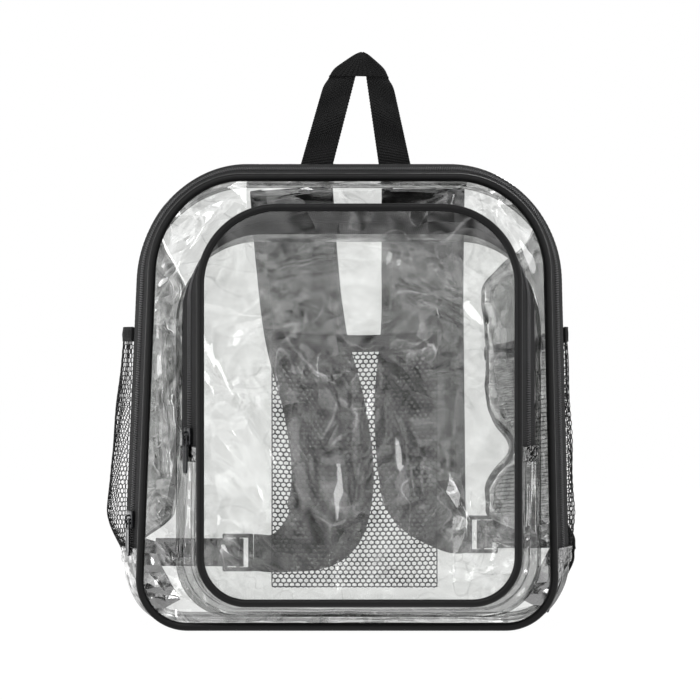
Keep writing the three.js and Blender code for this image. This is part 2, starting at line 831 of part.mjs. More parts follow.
// The webbing from the bottom corner, folded over at the side, round the buckle's middle bar
// and out as a tail.
function addWebbing(name, side, buckleX, buckleHeight, anchorX, foldX) {
  const barX = side * buckleX;
  const turnShift = (buckleMiddleBar / 2 - 0.8) * -side;
  const points = [
    new THREE.Vector2(side * anchorX, webAnchorHeight),
    new THREE.Vector2(side * foldX, buckleHeight),
    new THREE.Vector2(barX + turnShift, buckleHeight),
  ];
  const solids = foldedStrip(points, [webAnchorY, webRunY]);
  const turnRadius = buckleY - webRunY;
  const half = new THREE.Shape();
  half.absarc(0, 0, turnRadius + webbingWall / 2, Math.PI / 2, (3 * Math.PI) / 2, false);
  half.absarc(0, 0, turnRadius - webbingWall / 2, (3 * Math.PI) / 2, Math.PI / 2, true);
  const settings = { depth: webbingWidth, bevelEnabled: false, curveSegments: 6 };
  const turn = new THREE.ExtrudeGeometry(half, settings);
  turn.translate(0, 0, -webbingWidth / 2);
  turn.rotateZ(side > 0 ? 0 : Math.PI);
  turn.translate(barX + turnShift, buckleY, buckleHeight);
  solids.push(solidOf(turn));
  const tailX = barX + turnShift + (side * webTailLength) / 2;
  const tailY = buckleY + turnRadius;
  solids.push(block(webTailLength, webbingWall, webbingWidth, tailX, tailY, buckleHeight));
  addPiece(name + "_webbing", joined(solids), webbing);
}

function addCarrying() {
  const seam = outlineAt(body, bodyDepth);
  const sides = [
    {
      name: "left",
      side: -1,
      edge: -seam.left,
      height: buckleLeftHeight,
      buckle: buckleLeftInset,
      anchor: webAnchorLeftInset,
      fold: webFoldLeftInset,
    },
    {
      name: "right",
      side: 1,
      edge: seam.right,
      height: buckleRightHeight,
      buckle: buckleRightInset,
      anchor: webAnchorRightInset,
      fold: webFoldRightInset,
    },
  ];
  for (const { name, side, edge, height, buckle, anchor, fold } of sides) {
    addStrap(name, side, edge - buckle, height);
    addBuckle(name, side, edge - buckle, height);
    addWebbing(name, side, edge - buckle, height, edge - anchor, edge - fold);
  }
}

// Zip sliders

// A group on a form's left wall: X across the tape, Y up along it and Z straight out of it.
function seatOnLeft(form, height, depth) {
  const step = 0.5;
  const wallAt = (place) => leaned(form, outlineAt(form, place).left, height);
  const here = wallAt(depth);
  const slope = (wallAt(depth + step) - wallAt(depth - step)) / (2 * step);
  const rearward = new THREE.Vector3(slope, 1, 0).normalize();
  const outward = new THREE.Vector3(-rearward.y, rearward.x, 0);
  const basis = new THREE.Matrix4().makeBasis(rearward.clone().negate(), new THREE.Vector3(0, 0, 1), outward);
  const group = new THREE.Group();
  group.quaternion.setFromRotationMatrix(basis);
  group.position.set(here, form.frontY + depth, height);
  backpack.add(group);
  return group;
}

function sliderSolid() {
  const foot = coilProud + sliderClearance;
  const top = foot + sliderWall;
  const bailTop = top + bailTunnel + bailLegs;
  const legAt = (bailLength - bailLegs) / 2;
  const flange = sliderWidth / 2 - bailLegs / 2;
  const flangeFoot = sliderClearance;
  return joined([
    block(sliderWidth, sliderLength, sliderWall, 0, 0, foot + sliderWall / 2),
    block(bailLegs, sliderLength, top - flangeFoot, flange, 0, (top + flangeFoot) / 2),
    block(bailLegs, sliderLength, top - flangeFoot, -flange, 0, (top + flangeFoot) / 2),
    block(bailWidth, bailLegs, bailTop - foot, 0, legAt, (bailTop + foot) / 2),
    block(bailWidth, bailLegs, bailTop - foot, 0, -legAt, (bailTop + foot) / 2),
    block(bailWidth, bailLength, bailLegs, 0, 0, bailTop - bailLegs / 2),
  ]);
}

// The pull hangs from a bar through the bail. Its own origin is the middle of that bar.
function pullSolid() {
  const bar = new THREE.CylinderGeometry(pullBarRadius, pullBarRadius, pullWidth, 10);
  bar.rotateZ(Math.PI / 2);
  const railAt = (pullWidth - pullRail) / 2;
  const neck = pullLength - pullWindow;
  return joined([
    solidOf(bar),
    block(pullRail, pullWindow, pullWall, railAt, -pullWindow / 2, 0),
    block(pullRail, pullWindow, pullWall, -railAt, -pullWindow / 2, 0),
    block(pullWidth, neck, pullWall, 0, -pullWindow - neck / 2, 0),
  ]);
}

function addSlider(prefix, form, zip, height) {
  const seat = seatOnLeft(form, height, zip.coilFrom + coilWidth / 2);
  addPiece(prefix + "_slider", sliderSolid(), enamel, seat);
  const pull = addPiece(prefix + "_pull", pullSolid(), enamel, seat);
  pull.position.z = coilProud + sliderClearance + sliderWall + bailTunnel / 2;
}

addBody();
addFrontPocket();
addSidePockets();
addInnerPocket();
addHandle();
addCarrying();
addSlider("body", body, bodyZip, bodySliderHeight);
addSlider("pocket", pocket, pocketZip, pocketSliderHeight);

export default backpack;
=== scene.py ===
import math

import bpy
import numpy as np
from bpy.props import FloatProperty, FloatVectorProperty, PointerProperty
from mathutils import Matrix, Vector, noise


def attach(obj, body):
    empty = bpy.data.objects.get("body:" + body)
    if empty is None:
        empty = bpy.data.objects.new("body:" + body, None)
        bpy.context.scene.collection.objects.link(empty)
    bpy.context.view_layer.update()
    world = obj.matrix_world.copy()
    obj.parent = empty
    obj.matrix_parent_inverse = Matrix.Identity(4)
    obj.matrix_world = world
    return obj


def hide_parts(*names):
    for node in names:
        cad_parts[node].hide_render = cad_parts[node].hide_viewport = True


bl_info = {
    "name": "Clear Backpack",
    "version": (1, 0, 0),
    "blender": (4, 5, 0),
    "location": "3D View > Sidebar > Backpack",
    "description": "Dresses a clear vinyl backpack: film, piping, zippers, mesh pockets, straps and handle",
    "category": "Object",
}

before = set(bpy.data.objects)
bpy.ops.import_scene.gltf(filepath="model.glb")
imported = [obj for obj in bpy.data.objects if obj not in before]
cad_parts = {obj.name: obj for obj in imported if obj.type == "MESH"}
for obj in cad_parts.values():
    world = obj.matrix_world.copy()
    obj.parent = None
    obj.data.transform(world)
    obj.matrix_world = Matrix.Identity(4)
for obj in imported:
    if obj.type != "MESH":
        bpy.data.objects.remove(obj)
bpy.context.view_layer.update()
bpy.ops.object.select_all(action="DESELECT")

UP = Vector((0, 0, 1))
REARWARD = Vector((0, 1, 0))

# Sizes of the two bag forms, in metres, as in the part's source.
SEAM_GAP = 0.0003
BODY_WIDTH = 0.284
BODY_HEIGHT = 0.3055
BODY_CENTRE = -0.002
BODY_DEPTH = 0.110
BODY_LEAN = {-1: 0.085, 1: 0.05}
BINDING_RADIUS = 0.0022
HEEL_DEPTH = 0.008
SIDE_FALL = {-1: 0.035, 1: 0.056}
FALL_LOW = 0.048
FALL_FULL = 0.078
FALL_EASE = 0.230
FALL_HIGH = 0.290
KNOT_HEIGHT = 0.124
KNOT_REACH = 0.016
KNOT_SHARE = 0.3
TAPE_WIDTH = 0.0105
COIL_WIDTH = 0.006
POCKET_WIDTH = 0.2124
POCKET_HEIGHT = 0.2642
POCKET_DEPTH = 0.038
POCKET_CENTRE = 0.0065
POCKET_LIFT = 0.0219
POCKET_TAPE_WIDTH = 0.009
BODY_PIPING = 0.0028
POCKET_PIPING = 0.0027
BODY_ZIP_END = 0.0485
POCKET_ZIP_END = 0.119
WEBBING_WIDTH = 0.020
WEBBING_WALL = 0.0013

# How far films reach under their piping and walls under their tapes, and walls of thin strips.
SEAM_TUCK = 0.0012
WALL_TUCK = 0.001
TAPE_WALL = 0.0007
ELASTIC_WALL = 0.0014
BAG_MIDDLE = (0, 0, 0.15)

# Steps between the points that give a wall's directions.
SEAT_SHARE = 0.0015
SEAT_STEP = 0.001


class BagSizes(bpy.types.PropertyGroup):
    """Sizes of the parts that show as detail."""

    tooth_pitch: FloatProperty(
        name="Tooth Pitch", description="From one zipper coil loop to the next", default=0.0016, unit="LENGTH"
    )
    net_pitch: FloatProperty(
        name="Net Pitch", description="Width of one cell of the mesh", default=0.004, unit="LENGTH"
    )
    net_row: FloatProperty(
        name="Net Row", description="Height from one row of cells to the next", default=0.0031, unit="LENGTH"
    )
    net_thread: FloatProperty(
        name="Net Thread", description="Thickness of the mesh's threads", default=0.0012, unit="LENGTH"
    )
    stitch_length: FloatProperty(
        name="Stitch Length", description="Length of one visible stitch", default=0.0022, unit="LENGTH"
    )
    stitch_pitch: FloatProperty(
        name="Stitch Pitch", description="From one stitch to the next", default=0.0032, unit="LENGTH"
    )


class BagColours(bpy.types.PropertyGroup):
    """Colours of the bag's finishes."""

    film: FloatVectorProperty(
        name="Film Tint",
        description="Light that one layer of the clear film lets through",
        default=(0.905, 0.91, 0.903),
        subtype="COLOR",
        size=3,
    )
    piping: FloatVectorProperty(
        name="Piping",
        description="Black vinyl of the piping",
        default=(0.005, 0.005, 0.0052),
        subtype="COLOR",
        size=3,
    )
    tape: FloatVectorProperty(
        name="Zipper Tape",
        description="Woven zipper tape",
        default=(0.02, 0.02, 0.0205),
        subtype="COLOR",
        size=3,
    )
    webbing: FloatVectorProperty(
        name="Webbing",
        description="Webbing and binding",
        default=(0.014, 0.014, 0.0143),
        subtype="COLOR",
        size=3,
    )
    padding: FloatVectorProperty(
        name="Strap Cloth",
        description="Cloth of the straps",
        default=(0.015, 0.015, 0.0155),
        subtype="COLOR",
        size=3,
    )
    net: FloatVectorProperty(
        name="Mesh",
        description="Threads of the mesh pockets",
        default=(0.014, 0.014, 0.0145),
        subtype="COLOR",
        size=3,
    )
    metal: FloatVectorProperty(
        name="Slider Enamel",
        description="Enamel on sliders and pulls",
        default=(0.02, 0.021, 0.023),
        subtype="COLOR",
        size=3,
    )


def sizes():
    return bpy.context.scene.bag_sizes


def colours():
    return bpy.context.scene.bag_colours


# Outlines and forms


class Outline:
    """A rounded rectangle in the front view."""

    def __init__(self, *values):
        self.values = values
        self.left, self.right, self.bottom, self.top, self.top_radius, self.bottom_radius = values

    def grown(self, by):
        step = (-by, by, -by, by, by, by)
        return Outline(*(v + s for v, s in zip(self.values, step)))

    def mixed(self, other, share):
        return Outline(*(a + (b - a) * share for a, b in zip(self.values, other.values)))

    def arch(self, end):
        """The way over the top, from the left side's zip end to the right side's."""
        r = self.top_radius
        return [
            Line(self.left, end, self.left, self.top - r),
            Arc(self.left + r, self.top - r, r, math.pi, math.pi / 2),
            Line(self.left + r, self.top, self.right - r, self.top),
            Arc(self.right - r, self.top - r, r, math.pi / 2, 0),
            Line(self.right, self.top - r, self.right, end),
        ]

    def tray(self, end):
        """The way under the bottom, from the right side's zip end to the left side's."""
        r = self.bottom_radius
        return [
            Line(self.right, end, self.right, self.bottom + r),
            Arc(self.right - r, self.bottom + r, r, 0, -math.pi / 2),
            Line(self.right - r, self.bottom, self.left + r, self.bottom),
            Arc(self.left + r, self.bottom + r, r, -math.pi / 2, -math.pi),
            Line(self.left, self.bottom + r, self.left, end),
        ]

    def half_spans(self, height):
        """The left and right edge at a height."""
        inset = 0.0
        if height > self.top - self.top_radius:
            rise = height - (self.top - self.top_radius)
            inset = self.top_radius - math.sqrt(max(0, self.top_radius**2 - rise**2))
        if height < self.bottom + self.bottom_radius:
            fall = self.bottom + self.bottom_radius - height
            inset = self.bottom_radius - math.sqrt(max(0, self.bottom_radius**2 - fall**2))
        return self.left + inset, self.right - inset


class Line:
    def __init__(self, x0, z0, x1, z1):
        self.ends = x0, z0, x1, z1
        self.length = math.hypot(x1 - x0, z1 - z0)

    def at(self, share):
        x0, z0, x1, z1 = self.ends
        return x0 + (x1 - x0) * share, z0 + (z1 - z0) * share


class Arc:
    def __init__(self, x, z, radius, start, end):
        self.x, self.z, self.radius, self.start, self.end = x, z, radius, start, end
        self.length = radius * abs(end - start)

    def at(self, share):
        angle = self.start + (self.end - self.start) * share
        return self.x + self.radius * math.cos(angle), self.z + self.radius * math.sin(angle)


class Form:
    """A bag form: outlines at several depths behind its front."""

    def __init__(self, front_y, zip_end, rows, lean=None, fall=None):
        self.front_y = front_y
        self.zip_end = zip_end
        self.rows = rows
        self.lean = lean or {-1: 0.0, 1: 0.0}
        self.fall = fall
        front = rows[0][1]
        self.shares = {}
        for way in ("arch", "tray"):
            lengths = [part.length for part in getattr(front, way)(zip_end)]
            self.shares[way] = np.concatenate(([0], np.cumsum(lengths))) / sum(lengths)
            self.shares[way + "_length"] = sum(lengths)
        whole = self.shares["arch_length"] + self.shares["tray_length"]
        self.arch_share = self.shares["arch_length"] / whole

    def outline(self, depth):
        i = 1
        while i < len(self.rows) - 1 and depth > self.rows[i][0]:
            i += 1
        low, high = self.rows[i - 1], self.rows[i]
        return low[1].mixed(high[1], (depth - low[0]) / (high[0] - low[0]))

    def point(self, way, share, depth, out=0.0):
        """A point at a share of the way round, at a depth behind the front and out from the wall."""
        if way == "loop":
            share %= 1.0
            if share < self.arch_share:
                way, share = "arch", share / self.arch_share
            else:
                way, share = "tray", (share - self.arch_share) / (1 - self.arch_share)
        outline = self.outline(depth).grown(out)
        parts = getattr(outline, way)(self.zip_end)
        stops = self.shares[way]
        i = min(4, max(0, int(np.searchsorted(stops, share, side="right")) - 1))
        x, z = parts[i].at((share - stops[i]) / (stops[i + 1] - stops[i]))
        x = self.leaned(x, z)
        if self.fall:
            side = -1 if x < 0 else 1
            x -= side * self.fall(side, z, depth)
        return Vector((x, self.front_y + depth, z))

    def ring(self, depth, count):
        """Points all the way round, at a depth behind the front."""
        return [self.point("loop", i / count, depth) for i in range(count)]

    def leaned(self, x, z):
        return x * (1 - self.lean[-1 if x < 0 else 1] * z / (BODY_PIPING + BODY_HEIGHT))

    def seat(self, way, share, depth, out=0.0):
        """A frame on the wall: its place, the way along, the way rearward and the way outward."""
        here = self.point(way, share, depth, out)
        before, after = max(0, share - SEAT_SHARE), min(1, share + SEAT_SHARE)
        along = (self.point(way, after, depth, out) - self.point(way, before, depth, out)).normalized()
        deeper = self.point(way, share, depth + SEAT_STEP, out)
        rear = (deeper - self.point(way, share, depth - SEAT_STEP, out)).normalized()
        outward = (self.point(way, share, depth, out + SEAT_STEP) - here).normalized()
        outward = (outward - along * outward.dot(along)).normalized()
        outward = (outward - rear * outward.dot(rear)).normalized()
        return here, along, rear, outward

    def evenly(self, way, depth, out, pitch):
        """Shares of a way that lie one pitch apart along it."""
        fine = np.linspace(0, 1, 1600)
        points = np.array([self.point(way, s, depth, out) for s in fine])
        run = np.concatenate(([0], np.cumsum(np.linalg.norm(np.diff(points, axis=0), axis=1))))
        count = int(run[-1] / pitch)
        return np.interp(np.arange(count) * run[-1] / count + run[-1] / count / 2, run, fine)


def zipper_depths(piping, width):
    front = piping + SEAM_GAP
    coil = front + width + SEAM_GAP
    rear = coil + COIL_WIDTH + SEAM_GAP
    return {"front": front, "coil": coil, "rear": rear, "end": rear + width}


BODY_ZIP = zipper_depths(BODY_PIPING, TAPE_WIDTH)
POCKET_ZIP = zipper_depths(POCKET_PIPING, POCKET_TAPE_WIDTH)
BAND_END = BODY_PIPING + 3 * SEAM_GAP + 2 * TAPE_WIDTH + COIL_WIDTH


def smoothstep(value, low, high):
    share = min(1.0, max(0.0, (value - low) / (high - low)))
    return share * share * (3 - 2 * share)


def body_fall(side, height, depth):
    """How far an empty side wall falls in."""
    behind = (depth - BAND_END) / (BODY_DEPTH - HEEL_DEPTH - BAND_END)
    if not 0 < behind < 1:
        return 0.0
    rising = smoothstep(height, FALL_LOW, FALL_FULL)
    easing = 1 - smoothstep(height, FALL_EASE, FALL_HIGH)
    knot = KNOT_SHARE * math.exp(-(((height - KNOT_HEIGHT) / KNOT_REACH) ** 2)) if side > 0 else 0.0
    return SIDE_FALL[side] * (1 - knot) * min(rising, easing) * math.sin(math.pi * behind)


def body_outline(zip_share, back_share, rise):
    flared = zip_share + back_share
    return Outline(
        BODY_CENTRE - BODY_WIDTH / 2 - zip_share * 0.0135 - back_share * 0.0155,
        BODY_CENTRE + BODY_WIDTH / 2 + zip_share * 0.0126 + back_share * 0.0156,
        rise,
        BODY_PIPING + BODY_HEIGHT + zip_share * 0.011,
        0.064 + (0.080 - 0.064) * flared,
        0.037 + (0.046 - 0.037) * flared - rise,
    )


BODY = Form(
    -BODY_DEPTH / 2,
    BODY_ZIP_END,
    [
        (0, body_outline(0, 0, BODY_PIPING + 0.0002)),
        (BAND_END, body_outline(1, 0, 0)),
        (BODY_DEPTH - HEEL_DEPTH, body_outline(0, 1, 0)),
        (BODY_DEPTH, body_outline(0, 1, BINDING_RADIUS + 0.0002)),
    ],
    BODY_LEAN,
    body_fall,
)

POCKET_FRONT = Outline(
    POCKET_CENTRE - POCKET_WIDTH / 2,
    POCKET_CENTRE + POCKET_WIDTH / 2,
    POCKET_LIFT,
    POCKET_LIFT + POCKET_HEIGHT,
    0.052,
    0.031,
)
POCKET_BASE = Outline(
    POCKET_FRONT.left - 0.0182,
    POCKET_FRONT.right + 0.0174,
    POCKET_LIFT - 0.0123,
    POCKET_FRONT.top - 0.0217,
    0.056,
    0.038,
)
POCKET = Form(
    BODY.front_y - 0.0008 - POCKET_DEPTH,
    POCKET_ZIP_END,
    [(0, POCKET_FRONT), (POCKET_DEPTH, POCKET_BASE)],
)


# Modelling helpers


def deselect():
    if bpy.context.object and bpy.context.object.mode != "OBJECT":
        bpy.ops.object.mode_set(mode="OBJECT")
    bpy.ops.object.select_all(action="DESELECT")


def choose(obj):
    deselect()
    obj.select_set(True)
    bpy.context.view_layer.objects.active = obj
    return obj


def apply_modifier(obj, kind, **values):
    choose(obj)
    modifier = obj.modifiers.new(kind.title(), kind)
    for key, value in values.items():
        setattr(modifier, key, value)
    bpy.ops.object.modifier_apply(modifier=modifier.name)


def bake_place(obj):
    choose(obj)
    bpy.ops.object.transform_apply(location=True, rotation=True, scale=True)
    return obj


def join(name, objects):
    choose(objects[0])
    for other in objects[1:]:
        other.select_set(True)
    bpy.ops.object.join()
    joined = bpy.context.object
    joined.name = name
    joined.data.name = name
    return bake_place(joined)


def recalculate(obj):
    choose(obj)
    bpy.ops.object.mode_set(mode="EDIT")
    bpy.ops.mesh.select_all(action="SELECT")
    bpy.ops.mesh.remove_doubles(threshold=1e-6)
    bpy.ops.mesh.normals_make_consistent(inside=False)
    bpy.ops.object.mode_set(mode="OBJECT")


def coordinates(obj):
    mesh = obj.data
    found = np.zeros(len(mesh.vertices) * 3)
    mesh.vertices.foreach_get("co", found)
    return found.reshape(-1, 3)


def set_coordinates(obj, places):
    obj.data.vertices.foreach_set("co", np.asarray(places, dtype=float).ravel())
    obj.data.update()


def run_lengths(points):
    steps = np.linalg.norm(np.diff(points, axis=0), axis=1)
    return np.concatenate(([0], np.cumsum(steps)))


def grid(row_count, column_count, point):
    """Rows of points, each worked out from the numbers of its row and column."""
    return [[point(r, c) for c in range(column_count)] for r in range(row_count)]


def sheet(name, rows, away_from=None):
    """A grid that is added flat and moved to the rows of points, with its UV map in metres."""
    places = np.array([[tuple(p) for p in row] for row in rows])
    count_rows, count_columns = places.shape[:2]
    deselect()
    bpy.ops.mesh.primitive_grid_add(x_subdivisions=count_columns - 1, y_subdivisions=count_rows - 1, size=2)
    obj = bpy.context.object
    obj.name = name
    obj.data.name = name
    flat = coordinates(obj)
    column = np.rint((flat[:, 0] + 1) / 2 * (count_columns - 1)).astype(int)
    row = np.rint((flat[:, 1] + 1) / 2 * (count_rows - 1)).astype(int)
    set_coordinates(obj, places[row, column])
    across = run_lengths(places[count_rows // 2])
    along = run_lengths(places[:, count_columns // 2])
    mesh = obj.data
    corner = np.zeros(len(mesh.loops), dtype=int)
    mesh.loops.foreach_get("vertex_index", corner)
    uv = np.stack([along[row[corner]], across[column[corner]]], axis=1)
    mesh.uv_layers.active.data.foreach_set("uv", uv.ravel())
    if away_from is not None:
        face_outward(obj, Vector(away_from))
    choose(obj)
    bpy.ops.object.shade_smooth()
    return obj


def face_outward(obj, centre):
    total = 0.0
    for polygon in obj.data.polygons:
        total += polygon.normal.dot(Vector(polygon.center) - centre) * polygon.area
    if total < 0:
        choose(obj)
        bpy.ops.object.mode_set(mode="EDIT")
        bpy.ops.mesh.select_all(action="SELECT")
        bpy.ops.mesh.flip_normals()
        bpy.ops.object.mode_set(mode="OBJECT")


def thicken(obj, thickness, offset=0.0):
    apply_modifier(obj, "SOLIDIFY", thickness=thickness, offset=offset, use_even_offset=False)


def tube(name, points, radius, closed, sides=4):
    """A curve with a round bevel, turned into a mesh."""
    data = bpy.data.curves.new(name, "CURVE")
    data.dimensions = "3D"
    data.bevel_depth = radius
    data.bevel_resolution = sides
    data.use_fill_caps = not closed
    data.twist_mode = "MINIMUM"
    spline = data.splines.new("POLY")
    spline.points.add(len(points) - 1)
    for target, place in zip(spline.points, points):
        target.co = (*place, 1)
    spline.use_cyclic_u = closed
    obj = bpy.data.objects.new(name, data)
    bpy.context.collection.objects.link(obj)
    choose(obj)
    bpy.ops.object.convert(target="MESH")
    obj = bpy.context.object
    obj.data.name = name
    recalculate(obj)
    bpy.ops.object.shade_smooth()
    return obj


def unit_of(obj):
    """A modelled unit's vertices and faces, after which the unit itself goes."""
    places = coordinates(obj)
    faces = [tuple(p.vertices) for p in obj.data.polygons]
    mesh = obj.data
    bpy.data.objects.remove(obj)
    bpy.data.meshes.remove(mesh)
    return places, faces


def scattered(name, unit, seats):
    """Copies of one unit, each at its own seat: a place and three axes."""
    places, faces = unit
    every = []
    all_faces = []
    for k, (here, x, y, z) in enumerate(seats):
        turn = np.array([x, y, z])
        every.append(places @ turn + np.array(here))
        start = k * len(places)
        all_faces.extend(tuple(start + i for i in face) for face in faces)
    mesh = bpy.data.meshes.new(name)
    mesh.from_pydata(np.concatenate(every).tolist(), [], all_faces)
    obj = bpy.data.objects.new(name, mesh)
    bpy.context.collection.objects.link(obj)
    choose(obj)
    bpy.ops.object.shade_smooth()
    return obj


def bead(length, width, height, segments=6, rings=4):
    """A small rounded bead, longest along X and tallest along Z."""
    deselect()
    bpy.ops.mesh.primitive_uv_sphere_add(segments=segments, ring_count=rings, radius=0.5)
    obj = bpy.context.object
    obj.rotation_euler = (0, math.pi / 2, 0)
    bake_place(obj)
    obj.scale = (length, width, height)
    bake_place(obj)
    return unit_of(obj)


def piece(obj, finish, body="bag", replaces=()):
    """Gives a finished piece its material and the body that it rides on."""
    obj.data.materials.clear()
    obj.data.materials.append(finish)
    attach(obj, body)
    if replaces:
        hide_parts(*replaces)
    return obj


# Materials


class Nodes:
    """A material or group under construction."""

    def __init__(self, tree):
        self.tree = tree

    def add(self, kind, inputs=None, **settings):
        """A node with its settings, whose sockets are linked to an output or given a value."""
        node = self.tree.nodes.new(kind)
        for key, value in settings.items():
            setattr(node, key, value)
        self.feed(node, inputs or {})
        return node

    def feed(self, node, inputs):
        for key, value in inputs.items():
            if isinstance(value, bpy.types.NodeSocket):
                self.tree.links.new(value, node.inputs[key])
            else:
                node.inputs[key].default_value = value

    def math(self, operation, first, second=None):
        inputs = {0: first} if second is None else {0: first, 1: second}
        return self.add("ShaderNodeMath", inputs, operation=operation).outputs[0]

    def clouds(self, vector, scale, **inputs):
        return self.add("ShaderNodeTexNoise", {"Vector": vector, "Scale": scale, **inputs}).outputs

    def remap(self, value, start, end, low=0.0, high=1.0, **settings):
        """Runs from low to high while the value runs from start to end."""
        limits = {"From Min": start, "From Max": end, "To Min": low, "To Max": high}
        return self.add("ShaderNodeMapRange", {"Value": value, **limits}, **settings).outputs[0]

    def spread(self, value, low, high):
        """Spreads the middle of a noise between two values."""
        return self.remap(value, 0.3, 0.7, low, high)

    def tint(self, factor, dark, light):
        """A colour that runs from a dark to a light tone."""
        inputs = {"Factor": factor, 6: (*dark, 1), 7: (*light, 1)}
        return self.add("ShaderNodeMix", inputs, data_type="RGBA").outputs[2]

    def bump(self, height, strength, distance):
        inputs = {"Height": height, "Strength": strength, "Distance": distance}
        return self.add("ShaderNodeBump", inputs).outputs["Normal"]

    def group(self, name, maker, inputs):
        """A shared group, which is built when a material first asks for it."""
        tree = bpy.data.node_groups.get(name) or maker()
        return self.add("ShaderNodeGroup", inputs, node_tree=tree).outputs


def new_group(name, values, outputs):
    """A group that reads a vector and some numbers, and gives out numbers."""
    group = bpy.data.node_groups.new(name, "ShaderNodeTree")
    group.interface.new_socket("Vector", in_out="INPUT", socket_type="NodeSocketVector")
    for label, value in values.items():
        socket = group.interface.new_socket(label, in_out="INPUT", socket_type="NodeSocketFloat")
        socket.default_value = value
    for label in outputs:
        group.interface.new_socket(label, in_out="OUTPUT", socket_type="NodeSocketFloat")
    n = Nodes(group)
    return group, n, n.add("NodeGroupInput").outputs, n.add("NodeGroupOutput")


def weave_group():
    """Crossing threads on a map in metres."""
    values = {"Along Pitch": 0.0008, "Across Pitch": 0.0008}
    group, n, source, target = new_group("Thread Weave", values, ["Height", "Shade"])
    axes = n.add("ShaderNodeSeparateXYZ", {0: source["Vector"]}).outputs
    turns = n.math("MULTIPLY", n.math("DIVIDE", axes[0], source["Along Pitch"]), 2 * math.pi)
    picks = n.math("MULTIPLY", n.math("DIVIDE", axes[1], source["Across Pitch"]), 2 * math.pi)
    threads = n.math("SINE", turns)
    crossed = n.math("MULTIPLY", threads, n.math("SINE", picks))
    height = n.math("ADD", crossed, n.math("MULTIPLY", threads, 0.9))
    # Shade is painted shade: lighter where the threads rise and darker between them.
    shade = n.math("ADD", n.math("MULTIPLY", height, 0.27), 0.5)
    n.feed(target, {"Height": height, "Shade": shade})
    return group


def grain_group():
    """Fine grain and soft blotches, both from 0 to 1."""
    values = {"Grain Scale": 900.0, "Blotch Scale": 30.0}
    group, n, source, target = new_group("Fine Grain", values, ["Grain", "Blotch"])
    fine = n.clouds(source["Vector"], source["Grain Scale"], Detail=3.0, Roughness=0.6)
    broad = n.clouds(source["Vector"], source["Blotch Scale"], Detail=2.0, Roughness=0.5)
    n.feed(target, {"Grain": fine["Fac"], "Blotch": broad["Fac"]})
    return group


def new_material(name):
    found = bpy.data.materials.new(name)
    found.use_nodes = True
    found.node_tree.nodes.clear()
    return found, Nodes(found.node_tree)


def toned(colour, factor):
    return tuple(c * factor for c in colour)


def cloth_material(name, colour, pitches, bump, contrast=0.45):
    """Woven cloth on the piece's own UV map in metres."""
    finish, n = new_material(name)
    base = getattr(colours(), colour)
    place = n.add("ShaderNodeTexCoord").outputs
    pitch = {"Along Pitch": pitches[0], "Across Pitch": pitches[1]}
    weave = n.group("Thread Weave", weave_group, {"Vector": place["UV"], **pitch})
    grain = n.group("Fine Grain", grain_group, {"Vector": place["Object"]})
    # The colour mixes the weave's painted shade with random blotches of tone.
    shade = n.math("ADD", n.math("MULTIPLY", weave["Shade"], 0.7), n.math("MULTIPLY", grain["Blotch"], 0.3))
    height = n.math("ADD", weave["Height"], n.math("MULTIPLY", grain["Grain"], 0.6))
    surface = {
        "Base Color": n.tint(shade, toned(base, 1 - contrast), toned(base, 1 + contrast)),
        "Roughness": n.spread(grain["Grain"], 0.72, 0.92),
        "Normal": n.bump(height, 0.8, bump),
        "Sheen Weight": 0.03,
        "Sheen Roughness": 0.5,
        "Specular IOR Level": 0.12,
    }
    shader = n.add("ShaderNodeBsdfPrincipled", surface)
    n.add("ShaderNodeOutputMaterial", {"Surface": shader.outputs[0]})
    return finish


def moulded_material(name, colour, roughness, grain_scale, bump, tone=1.0, metallic=0.0, coat=0.0):
    """Moulded or extruded plastic, thread, or enamel on metal, on Object coordinates."""
    finish, n = new_material(name)
    base = toned(getattr(colours(), colour), tone)
    place = n.add("ShaderNodeTexCoord").outputs["Object"]
    scales = {"Grain Scale": grain_scale, "Blotch Scale": 55.0}
    grain = n.group("Fine Grain", grain_group, {"Vector": place, **scales})
    surface = {
        "Base Color": n.tint(grain["Blotch"], toned(base, 0.8), toned(base, 1.2)),
        "Roughness": n.spread(grain["Grain"], *roughness),
        "Normal": n.bump(grain["Grain"], 0.6, bump),
        "Metallic": metallic,
        "Specular IOR Level": 0.15,
        "Coat Weight": coat,
        "Coat Roughness": 0.15,
    }
    shader = n.add("ShaderNodeBsdfPrincipled", surface)
    n.add("ShaderNodeOutputMaterial", {"Surface": shader.outputs[0]})
    return finish


